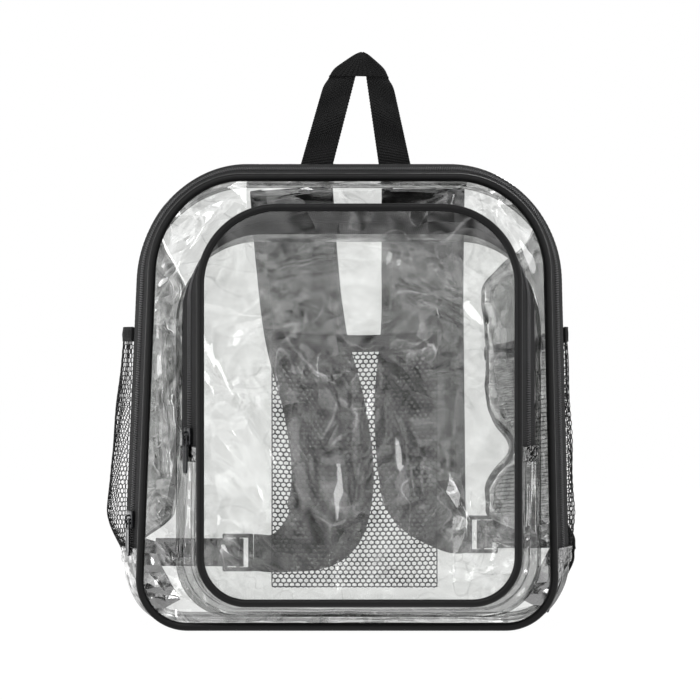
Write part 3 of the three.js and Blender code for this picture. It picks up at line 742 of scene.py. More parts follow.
def wrinkle_group():
    """Slack film's relief: broad swells, and in patches the flat facets of crumpled film; then curl lines,
    which paint the shade and reflection of fine creases, and a mask of the bag's corners.
    """
    values = {"Swell Scale": 14.0, "Facet Scale": 26.0, "Facet Depth": 0.3}
    group, n, source, target = new_group("Film Wrinkles", values, ["Height", "Ridge", "Corner"])
    place = source["Vector"]
    swell = n.clouds(place, source["Swell Scale"], Detail=1.6, Roughness=0.4, Distortion=0.7)
    bent = n.clouds(place, 17.0, Detail=1.0)
    sway = n.add("ShaderNodeVectorMath", {0: bent["Color"], "Scale": 0.09}, operation="SCALE")
    warped = n.add("ShaderNodeVectorMath", {0: place, 1: sway.outputs[0]}, operation="ADD")
    cells = {"Vector": warped.outputs[0], "Scale": source["Facet Scale"]}
    facet = n.add("ShaderNodeTexVoronoi", cells, feature="F1", distance="MANHATTAN")
    # Curls are the contour lines of a noise, shown only in patches and at the bag's corners: painted shade
    # and painted reflection of fine creases, with no relief.
    curl = n.clouds(place, source["Facet Scale"], Detail=1.2, Roughness=0.4, Distortion=1.1)
    level = n.math("FRACT", n.math("MULTIPLY", curl["Fac"], 5.0))
    line = n.remap(n.math("ABSOLUTE", n.math("SUBTRACT", level, 0.5)), 0.0, 0.07, 1.0, 0.0)
    shown = n.remap(n.clouds(place, 11.0, Detail=1.0)["Fac"], 0.42, 0.6)
    axes = n.add("ShaderNodeSeparateXYZ", {0: place}).outputs
    outer = n.remap(n.math("ABSOLUTE", axes[0]), 0.07, 0.125)
    low = n.remap(axes[2], 0.10, 0.03)
    high = n.remap(axes[2], 0.25, 0.29)
    corner = n.math("MULTIPLY", outer, n.math("MAXIMUM", low, high))
    spots = n.math("MAXIMUM", shown, corner)
    steeper = n.math("ADD", n.math("MULTIPLY", corner, 2.4), 1.0)
    deep = n.math("MULTIPLY", source["Facet Depth"], steeper)
    folded = n.math("MULTIPLY", facet.outputs["Distance"], deep)
    height = n.math("ADD", swell["Fac"], n.math("MULTIPLY", folded, spots))
    n.feed(target, {"Height": height, "Ridge": n.math("MULTIPLY", line, spots), "Corner": corner})
    return group


def film_material(
    name,
    relief,
    gloss_share,
    scales,
    facets,
    clear=1.0,
    roughness=0.06,
    dark=0.35,
    crease=0.2,
    most=0.85,
    # The weight of the painted reflection at the bag's corners.
    corner_reflection=0.0,
):
    """Clear film: mirror-like at its surface, slightly grey in its thickness, darker where seen edge on, with
    painted shade along curl lines and painted reflection there and at the bag's corners.
    """
    finish, n = new_material(name)
    place = n.add("ShaderNodeTexCoord").outputs["Object"]
    sway = {"Swell Scale": scales[0], "Facet Scale": scales[1], "Facet Depth": facets}
    wrinkles = n.group("Film Wrinkles", wrinkle_group, {"Vector": place, **sway})
    normal = n.bump(wrinkles["Height"], 1.0, relief)
    facing = n.add("ShaderNodeLayerWeight", {"Blend": 0.5, "Normal": normal}).outputs["Facing"]
    # The see-through colour darkens where the film is seen edge on, and along the curl lines as painted
    # shade.
    curl_shade = n.math("MULTIPLY", wrinkles["Ridge"], crease)
    shade = n.math("MINIMUM", n.math("ADD", n.math("POWER", facing, 1.5), curl_shade), 1.0)
    film = toned(colours().film, clear)
    through = n.add("ShaderNodeBsdfTransparent", {"Color": n.tint(shade, film, toned(film, dark))})
    mirror = {"Base Color": (0.95, 0.95, 0.95, 1), "Metallic": 1.0, "Roughness": roughness, "Normal": normal}
    gloss = n.add("ShaderNodeBsdfPrincipled", mirror)
    fresnel = n.add("ShaderNodeFresnel", {"IOR": 1.52, "Normal": normal}).outputs[0]
    # Painted reflection: the mirror's share rises along the curl lines and at the bag's corners.
    curl_reflection = n.math("MULTIPLY", wrinkles["Ridge"], crease * 0.6)
    painted_reflection = n.math("ADD", curl_reflection, n.math("MULTIPLY", wrinkles["Corner"], corner_reflection))
    share = n.math("MINIMUM", n.math("ADD", n.math("MULTIPLY", fresnel, gloss_share), painted_reflection), most)
    mix = n.add("ShaderNodeMixShader", {0: share, 1: through.outputs[0], 2: gloss.outputs[0]})
    n.add("ShaderNodeOutputMaterial", {"Surface": mix.outputs[0]})
    return finish


# In each film, crease weighs the curl lines' painted shade and painted reflection; the corner weight adds
# painted reflection at the bag's corners.
FILMS = {
    "film": (
        "Clear Film",
        {"relief": 0.011, "gloss_share": 2.0, "scales": (11, 24), "facets": 0.3, "corner_reflection": 0.14},
    ),
    "pocket film": (
        "Clear Pocket Film",
        {"relief": 0.008, "gloss_share": 1.9, "scales": (9, 20), "facets": 0.2, "corner_reflection": 0.16},
    ),
    # The gussets, the zip end tabs and the back edge use a darker copy of the same clear film: its lower
    # clear and dark values are painted shade for walls seen edge on.
    "gusset film": (
        "Clear Gusset Film",
        {
            "relief": 0.006,
            "gloss_share": 1.5,
            "scales": (18, 30),
            "facets": 0.15,
            "clear": 0.62,
            "dark": 0.3,
            "most": 0.5,
        },
    ),
    "back film": (
        "Clear Back Film",
        {
            "relief": 0.009,
            "gloss_share": 3.0,
            "scales": (9, 16),
            "facets": 0.28,
            "roughness": 0.1,
            "crease": 0.15,
        },
    ),
}
# Each cloth's name, colour, thread pitches, relief and, where it isn't the usual one, contrast, which spreads
# its painted thread shade and random tone.
CLOTHS = {
    "tape": ("Zipper Tape", "tape", (0.0014, 0.0017), 0.0001, 0.95),
    "webbing": ("Ribbed Webbing", "webbing", (0.0021, 0.0012), 0.0006, 0.95),
    "binding": ("Strap Binding", "webbing", (0.0011, 0.0016), 0.0002),
    "padding": ("Strap Cloth", "padding", (0.0008, 0.0008), 0.00014),
    "elastic": ("Elastic Band", "webbing", (0.0013, 0.0011), 0.00022),
}
# Each plastic's name, colour, range of roughness, grain scale and relief, then its tone, metal and coat.
PLASTICS = {
    "piping": ("Black Piping", "piping", (0.34, 0.5), 1400, 0.00003),
    # The coil takes the tape's colour toned 5.5 times lighter: painted highlight on its black loops.
    "coil": ("Zipper Coil", "tape", (0.25, 0.4), 1500, 0.00003, 5.5),
    "net": ("Mesh Thread", "net", (0.5, 0.75), 2600, 0.00008),
    "thread": ("Sewing Thread", "tape", (0.55, 0.8), 3000, 0.00005, 2.4),
    "buckle": ("Buckle Plastic", "piping", (0.3, 0.45), 900, 0.00004, 1.2),
    "enamel": ("Slider Enamel", "metal", (0.22, 0.38), 800, 0.00003, 1.0, 0.7, 0.3),
}
MADE = {}


def finish_of(name):
    """Each finish is made once, when a piece first asks for it."""
    if name not in MADE:
        if name in FILMS:
            label, values = FILMS[name]
            MADE[name] = film_material(label, **values)
        elif name in CLOTHS:
            MADE[name] = cloth_material(*CLOTHS[name])
        else:
            MADE[name] = moulded_material(*PLASTICS[name])
    return MADE[name]


# Film


PANEL_COLUMNS = 120
PANEL_ROWS = 136


def panel_rows(form, inset, depth, crown, seed, amplitude):
    """Rows of points across a panel inside a form's seam, with the first faint unevenness of its film."""
    outline = form.outline(depth).grown(-inset)
    found = []
    for r in range(PANEL_ROWS + 1):
        even = r / PANEL_ROWS
        share = 0.45 * even + 0.55 * (0.5 - 0.5 * math.cos(math.pi * even))
        z = outline.bottom + (outline.top - outline.bottom) * share
        left, right = (form.leaned(x, z) for x in outline.half_spans(z))
        up = 2 * share - 1
        line = []
        for c in range(PANEL_COLUMNS + 1):
            x = left + (right - left) * c / PANEL_COLUMNS
            across = 2 * c / PANEL_COLUMNS - 1
            rim = (1 - across**2) * (1 - up**2)
            broad = noise.noise(Vector((x * 24, seed, z * 15)))
            wave = broad + 0.6 * noise.noise(Vector((x * 60, seed + 7, z * 40)))
            swell = crown * min(1.0, rim * 1.6)
            y = form.front_y + depth - swell - amplitude * wave * min(1.0, rim * 6)
            line.append(Vector((x, y, z)))
        found.append(line)
    return found


def film_panel(name, form, folds, inset, depth, crown, seed, amplitude, facing):
    """A film inside a form's seam, facing to the front (-1) or the back (1)."""
    obj = sheet(name, panel_rows(form, inset, depth, crown, seed, amplitude))
    crease(obj, folds)
    face_outward(obj, Vector((0, form.front_y + depth - facing * 0.3, 0.15)))
    return obj


# Folds pressed into the films: where each runs, its half width, its height towards the front and its bow.
POCKET_FOLDS = [
    {"x": (-0.0960, -0.0400), "z": (0.196, 0.068), "width": 0.0085, "height": 0.0030, "bow": 0.004},
    {"x": (-0.0830, -0.0560), "z": (0.150, 0.095), "width": 0.0050, "height": -0.0012, "bow": 0.002},
    {"x": (-0.0150, -0.0020), "z": (0.186, 0.070), "width": 0.0060, "height": 0.0013, "bow": 0.004},
    {"x": (0.0160, 0.0080), "z": (0.182, 0.100), "width": 0.0050, "height": 0.0012, "bow": -0.004},
    {"x": (-0.0340, -0.0200), "z": (0.170, 0.070), "width": 0.0055, "height": 0.0011, "bow": -0.004},
    {"x": (0.0280, 0.0420), "z": (0.160, 0.070), "width": 0.0060, "height": 0.0013, "bow": 0.004},
    {"x": (-0.0560, 0.0100), "z": (0.243, 0.252), "width": 0.0050, "height": 0.0014, "bow": 0.003},
    {"x": (0.0300, 0.0900), "z": (0.236, 0.205), "width": 0.0060, "height": 0.0018, "bow": 0.004},
    {"x": (0.0520, 0.0880), "z": (0.110, 0.045), "width": 0.0055, "height": 0.0022, "bow": 0.004},
    {"x": (0.0600, 0.1020), "z": (0.048, 0.036), "width": 0.0035, "height": 0.0014, "bow": 0.001},
    {"x": (-0.0860, -0.0400), "z": (0.060, 0.034), "width": 0.0050, "height": 0.0016, "bow": -0.003},
    {"x": (-0.0200, 0.0600), "z": (0.034, 0.033), "width": 0.0040, "height": 0.0014, "bow": 0.002},
]
FRONT_FOLDS = [
    {"x": (-0.1250, -0.0760), "z": (0.236, 0.298), "width": 0.0055, "height": 0.0022, "bow": 0.003},
    {"x": (-0.1120, -0.0850), "z": (0.222, 0.286), "width": 0.0035, "height": -0.0012, "bow": 0.002},
    {"x": (-0.0700, 0.0700), "z": (0.296, 0.298), "width": 0.0030, "height": 0.0014, "bow": 0.002},
    {"x": (0.0850, 0.1230), "z": (0.296, 0.240), "width": 0.0050, "height": 0.0020, "bow": 0.004},
    {"x": (-0.1290, -0.1240), "z": (0.225, 0.090), "width": 0.0040, "height": 0.0016, "bow": 0.002},
    {"x": (0.1210, 0.1310), "z": (0.226, 0.070), "width": 0.0040, "height": 0.0016, "bow": -0.002},
    {"x": (-0.1300, -0.1020), "z": (0.070, 0.020), "width": 0.0050, "height": 0.0020, "bow": -0.003},
    {"x": (0.1000, 0.1340), "z": (0.016, 0.052), "width": 0.0050, "height": 0.0020, "bow": 0.003},
]
BACK_FOLDS = [
    {"x": (-0.0400, 0.0600), "z": (0.270, 0.252), "width": 0.0060, "height": 0.0016, "bow": 0.004},
    {"x": (-0.0600, 0.0200), "z": (0.235, 0.212), "width": 0.0070, "height": 0.0018, "bow": -0.005},
    {"x": (0.0000, 0.0900), "z": (0.205, 0.232), "width": 0.0060, "height": 0.0016, "bow": 0.004},
    {"x": (-0.1100, -0.0500), "z": (0.120, 0.060), "width": 0.0070, "height": 0.0018, "bow": 0.004},
    {"x": (0.0500, 0.1100), "z": (0.050, 0.140), "width": 0.0070, "height": 0.0018, "bow": 0.004},
]


def crease(obj, lines):
    """Presses folds into a film, each along a line, with a width and a height towards the front."""
    places = coordinates(obj)
    for line in lines:
        start = np.array((line["x"][0], line["z"][0]))
        run = np.array((line["x"][1], line["z"][1])) - start
        length = np.linalg.norm(run)
        flat = places[:, [0, 2]] - start
        share = np.clip(flat @ run / length**2, 0, 1)
        off = flat - share[:, None] * run
        side = flat @ np.array((-run[1], run[0])) / length
        bow = line["bow"] * np.sin(np.pi * share)
        away = np.hypot(side - bow, np.linalg.norm(off, axis=1) * (np.abs(share - 0.5) >= 0.5))
        fade = np.sin(np.pi * np.clip(share, 0.02, 0.98)) ** 0.6
        places[:, 1] -= line["height"] * fade * np.exp(-((away / line["width"]) ** 2))
    set_coordinates(obj, places)


def film_band(name, form, way, depths, away_from, steps, folds, seed, long_folds=0.0):
    """A wall of film along a way, with folds across it and along it that fade at its seams."""
    start, end = depths
    columns, rows = steps

    def spot(c, r):
        share = c / columns
        across = r / rows
        here, _, _, outward = form.seat(way, share, start + (end - start) * r / rows)
        run = share * form.shares[way + "_length"]
        pattern = noise.noise(Vector((run * 38, across * 1.1 + run * 6, seed)))
        fine = noise.noise(Vector((run * 95, across * 2.4 - run * 9, seed + 3)))
        lengthwise = noise.noise(Vector((run * 7, across * 7.5 + run * 4, seed + 11)))
        fade = math.sin(math.pi * across) ** 0.7
        return here + outward * fade * (folds * (pattern + 0.35 * fine) + long_folds * lengthwise)

    return sheet(name, grid(columns + 1, rows + 1, spot), away_from)


class BAG_OT_film(bpy.types.Operator):
    """Makes the clear film of the main compartment"""

    bl_idname = "bag.film"
    bl_label = "Main Film"

    def execute(self, context):
        tuck = BODY_PIPING - SEAM_TUCK
        front = film_panel("front_film", BODY, FRONT_FOLDS, tuck, 0, 0.0, 3.1, 0.0009, -1)
        piece(front, finish_of("film"), replaces=["front_panel"])
        tuck = BINDING_RADIUS - WALL_TUCK
        back = film_panel("back_film", BODY, BACK_FOLDS, tuck, BODY_DEPTH, 0.0, 8.7, 0.0006, 1)
        piece(back, finish_of("back film"), replaces=["back_panel"])
        depths = (BODY_ZIP["end"] - WALL_TUCK, BODY_DEPTH)
        upper = film_band("upper_gusset_film", BODY, "arch", depths, BAG_MIDDLE, (260, 34), 0.0032, 1.7)
        piece(upper, finish_of("gusset film"), replaces=["upper_gusset"])
        depths = (WALL_TUCK, BODY_DEPTH)
        steps = (170, 44)
        lower = film_band("lower_gusset_film", BODY, "tray", depths, BAG_MIDDLE, steps, 0.0014, 5.2, 0.0018)
        places = coordinates(lower)
        places[:, 2] = np.maximum(places[:, 2], 0.0001)
        set_coordinates(lower, places)
        piece(lower, finish_of("gusset film"), replaces=["lower_gusset"])
        edge = tube("back_edge", BODY.ring(BODY_DEPTH, 420), BINDING_RADIUS - 0.0004, True, 3)
        piece(edge, finish_of("gusset film"), replaces=["back_binding"])
        return {"FINISHED"}


# Piping and zippers


COIL_LIFT = 0.0006
COIL_SIDE = 0.0014
COIL_TOOTH = (0.0027, 0.0009, 0.0016)
STITCH_LIFT = 0.0002
TAB_LENGTH = 0.0105


def band(name, form, start, end, columns=300, rows=6):
    """A strip of tape that lies on the wall along the zipper's way."""

    def spot(c, r):
        return form.point("arch", c / columns, start + (end - start) * r / rows)

    obj = sheet(name, grid(columns + 1, rows + 1, spot), BAG_MIDDLE)
    thicken(obj, TAPE_WALL, -1)
    return obj


def zipper(prefix, form, depths):
    """Both tapes, the coil's teeth between them and a row of stitches along each tape."""
    middle = depths["coil"] + COIL_WIDTH / 2
    tapes = {
        "front": (depths["front"] - 0.0012, middle - 0.0004),
        "rear": (middle + 0.0004, depths["end"] + 0.0008),
    }
    for place, (start, end) in tapes.items():
        tape = band(prefix + "_tape_" + place, form, start, end)
        piece(tape, finish_of("tape"), replaces=[prefix + "_zip_" + place + "_tape"])
    pitch = sizes().tooth_pitch
    seats = []
    for share in form.evenly("arch", middle, COIL_LIFT, pitch):
        for side in (-1, 1):
            here, along, rear, outward = form.seat("arch", share, middle + side * COIL_SIDE, COIL_LIFT)
            here = here + along * (pitch / 2 if side > 0 else 0)
            seats.append((here, rear, along, outward))
    teeth = scattered(prefix + "_teeth", bead(*COIL_TOOTH), seats)
    piece(teeth, finish_of("coil"), replaces=[prefix + "_zip_coil"])
    stitches = []
    for offset in (depths["front"] + 0.0016, depths["end"] - 0.0022):
        for share in form.evenly("arch", offset, STITCH_LIFT, sizes().stitch_pitch):
            stitches.append(form.seat("arch", share, offset, STITCH_LIFT))
    sewn = scattered(prefix + "_tape_stitches", bead(sizes().stitch_length, 0.0005, 0.0005), stitches)
    piece(sewn, finish_of("thread"))


def zip_end_folds(prefix, form, depths, zip_end):
    """A folded tab of clear film across each end of the zipper."""
    for name, side in (("left", -1), ("right", 1)):

        def spot(r, c):
            height = zip_end - 0.003 + TAB_LENGTH * r / 12
            depth = depths["front"] - 0.0005 + (depths["end"] - depths["front"] + 0.001) * c / 24
            outline = form.outline(depth)
            edge = form.leaned(outline.left if side < 0 else outline.right, height)
            rumple = 0.0005 * noise.noise(Vector((c * 0.45, r * 0.3, side * 5.1)))
            lip = 0.0006 * smoothstep(r, 9, 11)
            lift = 0.0011 + 0.0006 * math.sin(math.pi * r / 12) + rumple + lip
            return Vector((edge + side * lift, form.front_y + depth, height))

        tab = sheet(prefix + "_zip_" + name + "_end", grid(13, 25, spot), BAG_MIDDLE)
        thicken(tab, 0.0005, 0)
        piece(tab, finish_of("gusset film"))


class BAG_OT_piping(bpy.types.Operator):
    """Makes both runs of black piping"""

    bl_idname = "bag.piping"
    bl_label = "Piping"

    def execute(self, context):
        runs = (
            ("piping", BODY, BODY_PIPING, "body_piping"),
            ("front_pocket_piping", POCKET, POCKET_PIPING, "pocket_piping"),
        )
        for name, form, radius, node in runs:
            run = tube(name, form.ring(0, 520), radius, True)
            piece(run, finish_of("piping"), replaces=[node])
        return {"FINISHED"}


class BAG_OT_zippers(bpy.types.Operator):
    """Makes the zipper tapes, their coils and their stitching"""

    bl_idname = "bag.zippers"
    bl_label = "Zippers"

    def execute(self, context):
        zipper("body", BODY, BODY_ZIP)
        zip_end_folds("body", BODY, BODY_ZIP, BODY_ZIP_END)
        zipper("pocket", POCKET, POCKET_ZIP)
        zip_end_folds("pocket", POCKET, POCKET_ZIP, POCKET_ZIP_END)
        return {"FINISHED"}


class BAG_OT_front_pocket(bpy.types.Operator):
    """Makes the clear film of the front pocket"""

    bl_idname = "bag.front_pocket"
    bl_label = "Front Pocket"

    def execute(self, context):
        tuck = POCKET_PIPING - SEAM_TUCK
        front = film_panel("front_pocket_film", POCKET, POCKET_FOLDS, tuck, 0, 0.0045, 12.4, 0.0008, -1)
        piece(front, finish_of("pocket film"), replaces=["pocket_front"])
        middle = (0, POCKET.front_y + 0.02, 0.15)
        depths = (POCKET_ZIP["end"] - WALL_TUCK, POCKET_DEPTH)
        upper = film_band("pocket_upper_film", POCKET, "arch", depths, middle, (220, 12), 0.0012, 21.3)
        piece(upper, finish_of("gusset film"), replaces=["pocket_upper_gusset"])
        depths = (WALL_TUCK, POCKET_DEPTH)
        lower = film_band("pocket_lower_film", POCKET, "tray", depths, middle, (220, 36), 0.0008, 25.9, 0.003)
        piece(lower, finish_of("gusset film"), replaces=["pocket_lower_gusset"])
        return {"FINISHED"}


# Mesh pockets


def thread_cover(thread):
    """The share of a net's rectangle that its threads cover."""
    pitch = sizes().net_pitch
    row = sizes().net_row
    return (2 * row / 3 + 2 * math.hypot(pitch / 2, row / 3)) * thread / (pitch * row)


# A cell's corners round its middle, in widths and heights of a cell.
CELL_CORNERS = ((0, 2 / 3), (-0.5, 1 / 3), (-0.5, -1 / 3), (0, -2 / 3), (0.5, -1 / 3), (0.5, 1 / 3))


def net(name, width, height, place, thread):
    """A net of six-sided cells, laid on a surface and given its threads by a wireframe."""
    columns = round(width / sizes().net_pitch)
    rows = round(height / sizes().net_row)
    step_x = 1.0 / columns
    step_z = 1.0 / rows
    index = {}
    corners = []
    faces = []

    def corner(u, v):
        u = min(1.0, max(0.0, u))
        v = min(1.0, max(0.0, v))
        key = round(u * columns * 2), round(v * rows * 3)
        if key not in index:
            index[key] = len(corners)
            corners.append(place(u, v))
        return index[key]

    for r in range(rows):
        middle_v = (r + 0.5) * step_z
        for c in range(columns + r % 2):
            middle_u = (c + 0.5 - 0.5 * (r % 2)) * step_x
            ring = []
            for a, b in CELL_CORNERS:
                k = corner(middle_u + a * step_x, middle_v + b * step_z)
                if k not in ring:
                    ring.append(k)
            if len(ring) > 2:
                faces.append(ring)
    mesh = bpy.data.meshes.new(name)
    mesh.from_pydata([tuple(p) for p in corners], [], faces)
    obj = bpy.data.objects.new(name, mesh)
    bpy.context.collection.objects.link(obj)
    recalculate(obj)
    apply_modifier(obj, "WIREFRAME", thickness=thread, use_even_offset=False, use_boundary=True)
    choose(obj)
    bpy.ops.object.shade_smooth()
    return obj


def elastic_top(name, rows, away_from, node):
    """The gathered elastic along a mesh pocket's top."""
    elastic = sheet(name, rows, away_from)
    thicken(elastic, ELASTIC_WALL, 0)
    piece(elastic, finish_of("elastic"), replaces=[node])


SIDE_NET_LOW = 0.049
SIDE_NET_HIGH = 0.207
SIDE_NET_WIDTH = 0.073
SIDE_NET_INSET = 0.0025
SIDE_NET_SAG = 0.014
SIDE_NET_BULGE = {"left": 0.014, "right": 0.008}
ELASTIC_HEIGHT = 0.010
ELASTIC_SHARE = 0.55


def side_point(side, name, across, height, out, fullness):
    """A point of a side pocket: across is its share from front to back."""
    start = BODY_ZIP["end"] + SIDE_NET_INSET
    end = BODY_DEPTH - BINDING_RADIUS - SIDE_NET_INSET
    depth = start + (end - start) * across
    outline = BODY.outline(depth)
    edge = BODY.leaned(outline.left if side < 0 else outline.right, height)
    follow = smoothstep(across, 0.12, 0.5) * (1 - smoothstep(across, 0.6, 0.86)) if side > 0 else 0.0
    swell = SIDE_NET_BULGE[name] * fullness * math.sin(math.pi * across) ** 0.8 * (1 - 0.8 * follow)
    height -= SIDE_NET_SAG * follow * (height - SIDE_NET_LOW) / (SIDE_NET_HIGH - SIDE_NET_LOW)
    inward = body_fall(side, height, depth) * follow
    return Vector((edge + side * (SEAM_GAP + swell + out - inward), BODY.front_y + depth, height))


def pouch(share):
    rising = min(1.0, share / 0.22)
    drawn = 1 + (ELASTIC_SHARE - 1) * max(0.0, share - 0.22) / 0.78
    return math.sin(math.pi / 2 * rising) * drawn


class BAG_OT_side_pockets(bpy.types.Operator):
    """Makes the mesh pockets on both sides, with their elastic tops"""

    bl_idname = "bag.side_pockets"
    bl_label = "Side Pockets"

    def execute(self, context):
        top = SIDE_NET_HIGH - ELASTIC_HEIGHT + 0.0008
        thread = sizes().net_thread / 2
        for name, side in (("left", -1), ("right", 1)):

            def place(u, v):
                ruffle = 0.0011 * noise.noise(Vector((u * 9, v * 5, side * 3.3))) * min(1, v * 5)
                height = SIDE_NET_LOW + (top - SIDE_NET_LOW) * v
                return side_point(side, name, u, height, 0.0005 + ruffle, pouch(v))

            mesh_pocket = net(name + "_pocket_net", SIDE_NET_WIDTH, top - SIDE_NET_LOW, place, thread)
            piece(mesh_pocket, finish_of("net"), replaces=[name + "_side_net"])

            def elastic_place(r, c):
                height = SIDE_NET_HIGH - ELASTIC_HEIGHT * (1 - r / 6)
                gather = 0.0007 * math.sin(c * 1.9) * (1 - abs(r / 3 - 1)) * 0.8
                return side_point(side, name, c / 72, height, 0.0004 + gather, ELASTIC_SHARE)

            rows = grid(7, 73, elastic_place)
            elastic_top(name + "_elastic", rows, (0, 0.02, 0.2), name + "_side_elastic")
        return {"FINISHED"}


INNER_WIDTH = 0.1174
INNER_CENTRE = 0.0035
INNER_LOW = 0.022
INNER_HIGH = 0.2045
INNER_ELASTIC = 0.012
INNER_BULGE = 0.009


def inner_point(across, height, off, fullness):
    seat = BODY_DEPTH / 2 - 0.0008
    swell = INNER_BULGE * fullness * math.sin(math.pi * across) ** 0.7
    return Vector((INNER_CENTRE + INNER_WIDTH * (across - 0.5), seat - swell - off, height))


class BAG_OT_inner_pocket(bpy.types.Operator):
    """Makes the mesh pocket on the inside of the back"""

    bl_idname = "bag.inner_pocket"
    bl_label = "Inner Pocket"

    def execute(self, context):
        top = INNER_HIGH - INNER_ELASTIC + 0.001

        def place(u, v):
            full = math.sin(math.pi / 2 * min(1.0, v / 0.25))
            ruffle = 0.0018 * noise.noise(Vector((u * 4, v * 6, 9.1))) * min(1, v * 6)
            sag = 0.003 * math.sin(math.pi * u) * v
            return inner_point(u, INNER_LOW + (top - INNER_LOW) * v - sag, 0.0005 + ruffle, full)

        mesh_pocket = net("inner_pocket_net", INNER_WIDTH, top - INNER_LOW, place, sizes().net_thread)
        piece(mesh_pocket, finish_of("net"), replaces=["inner_net"])
        cut = (0.121, 0.172)
        covered = cut[0] * cut[1] * thread_cover(sizes().net_thread)

        def elastic_place(r, c):
            u = c / 96
            height = INNER_HIGH - INNER_ELASTIC * (1 - r / 6) - 0.003 * math.sin(math.pi * u)
            wave = 0.0008 * noise.noise(Vector((u * 7, r * 0.2, 4.4)))
            return inner_point(u, height, 0.0006 + wave, 1)

        elastic_top("inner_pocket_band", grid(7, 97, elastic_place), (0, 0.3, 0.2), "inner_elastic")
        return {"FINISHED"}


# Webbing

HANDLE_CORNERS = {
    "left_foot_outer": (-0.0384, 0),
    "left_foot_inner": (-0.0151, 0),
    "left_shoulder": (-0.0166, 0.0758),
    "peak": (0.009, 0.0932),
    "right_shoulder": (0.0297, 0.075),
    "right_foot_inner": (0.0226, 0),
    "right_foot_outer": (0.0462, 0),
}
HANDLE_COLUMNS = 14
LEG_STEPS = 240
LEG_CURL = 0.0012
CROSS_STEPS = 150
CROSS_BEND = -0.0006
RIB_PITCH = 0.0021
RIB_HEIGHT = 0.0002


def run_rows(first, last, level, steps, columns, bend=0.0, curl=0.0):
    """Rows of a flat run of webbing between two cross lines, each a pair of points in the front view."""
    rows = []
    length = ((first[0] + first[1]) / 2 - (last[0] + last[1]) / 2).length
    ribs = round(length / RIB_PITCH)
    for i in range(steps + 1):
        share = i / steps
        rib = RIB_HEIGHT * math.sin(2 * math.pi * ribs * share) if steps > 4 * ribs else 0.0
        row = []
        for c in range(columns + 1):
            across = c / columns
            a = first[0].lerp(first[1], across)
            b = last[0].lerp(last[1], across)
            flat = a.lerp(b, share)
            edge = (2 * across - 1) ** 2
            y = level + rib + (bend - curl * edge) * math.sin(math.pi * share)
            row.append(Vector((flat.x, y, flat.y)))
        rows.append(row)
    return rows


def fold_rows(line, start, end, push, columns, steps=6):
    """Rows round a fold line, from one layer's level to the other's, flat at the line's ends."""
    rows = []
    radius = abs(end - start) / 2
    middle = (start + end) / 2
    half = (start - end) / 2
    for i in range(1, steps):
        angle = math.pi * i / steps
        row = []
        for c in range(columns + 1):
            out = radius * math.sin(angle) * (1 - (2 * c / columns - 1) ** 4)
            flat = line[0].lerp(line[1], c / columns) + push * out
            row.append(Vector((flat.x, middle + half * math.cos(angle), flat.y)))
        rows.append(row)
    return rows


def soften_corner(place, corner, inward, reach=0.0055):
    """Draws the points near a corner of the folded webbing in, which rounds it."""
    off = math.hypot(place.x - corner.x, place.z - corner.y)
    draw = math.exp(-((off / reach) ** 2))
    place.x += inward.x * draw
    place.z += inward.y * draw


class BAG_OT_handle(bpy.types.Operator):
    """Makes the handle from one strip of webbing, folded over at both shoulders"""

    bl_idname = "bag.handle"
    bl_label = "Handle"

    def execute(self, context):
        foot = BODY.outline(BODY_DEPTH).top + BINDING_RADIUS + SEAM_GAP
        at = {name: Vector((x, foot + up)) for name, (x, up) in HANDLE_CORNERS.items()}
        back = BODY_DEPTH / 2
        front = back - WEBBING_WALL - SEAM_GAP
        left_foot = (at["left_foot_outer"], at["left_foot_inner"])
        left_fold = (at["left_shoulder"], at["peak"] + Vector((-0.0004, -0.0002)))
        right_fold = (at["right_shoulder"], at["peak"] + Vector((0.0004, -0.0002)))
        right_foot = (at["right_foot_outer"], at["right_foot_inner"])
        push_left = Vector((-0.57, 0.82))
        push_right = Vector((0.66, 0.75))
        rows = run_rows(left_foot, left_fold, back, LEG_STEPS, HANDLE_COLUMNS, curl=LEG_CURL)
        rows += fold_rows(left_fold, back, front, push_left, HANDLE_COLUMNS)
        rows += run_rows(left_fold, right_fold, front, CROSS_STEPS, HANDLE_COLUMNS, bend=CROSS_BEND)
        rows += fold_rows(right_fold, front, back, push_right, HANDLE_COLUMNS)
        rows += run_rows(right_fold, right_foot, back, LEG_STEPS, HANDLE_COLUMNS, curl=LEG_CURL)
        for row in rows:
            for place in row:
                soften_corner(place, at["left_shoulder"], Vector((0.0022, -0.0008)))
                soften_corner(place, at["right_shoulder"], Vector((-0.0022, -0.0008)))
                soften_corner(place, at["peak"], Vector((0, -0.0006)), 0.003)
        strip = sheet("handle_webbing", rows)
        thicken(strip, WEBBING_WALL, 0)
        recalculate(strip)
        piece(strip, finish_of("webbing"), replaces=["handle"])
        return {"FINISHED"}


STRAP_ROUTE = [
    {"down": 0.0, "out": 0.0, "right": 0.0526, "left": 0.0416},
    {"down": 0.2, "out": 0.62, "right": 0.0528, "left": 0.038},
    {"down": 0.4, "out": 1.0, "right": 0.0526, "left": 0.032},
    {"down": 0.61, "out": 0.96, "right": 0.048, "left": 0.018},
    {"down": 0.82, "out": 0.6, "right": 0.0505, "left": 0.0125},
    {"down": 0.94, "out": 0.25, "right": 0.0575, "left": 0.022},
    {"down": 1.0, "out": 0.0, "right": 0.073, "left": 0.05},
]
STRAP_WIDTH = 0.058
STRAP_THICKNESS = 0.008
STRAP_TIP_WIDTH = 0.025
STRAP_TIP_THICKNESS = 0.004
STRAP_TOP_Y = BODY_DEPTH / 2 + BINDING_RADIUS + SEAM_GAP + STRAP_THICKNESS / 2
STRAP_BOW = 0.042
STRAP_STEPS = 150
PAD_AROUND = 44
BINDING_REACH = 0.0075
STITCH_INSET = 0.0062
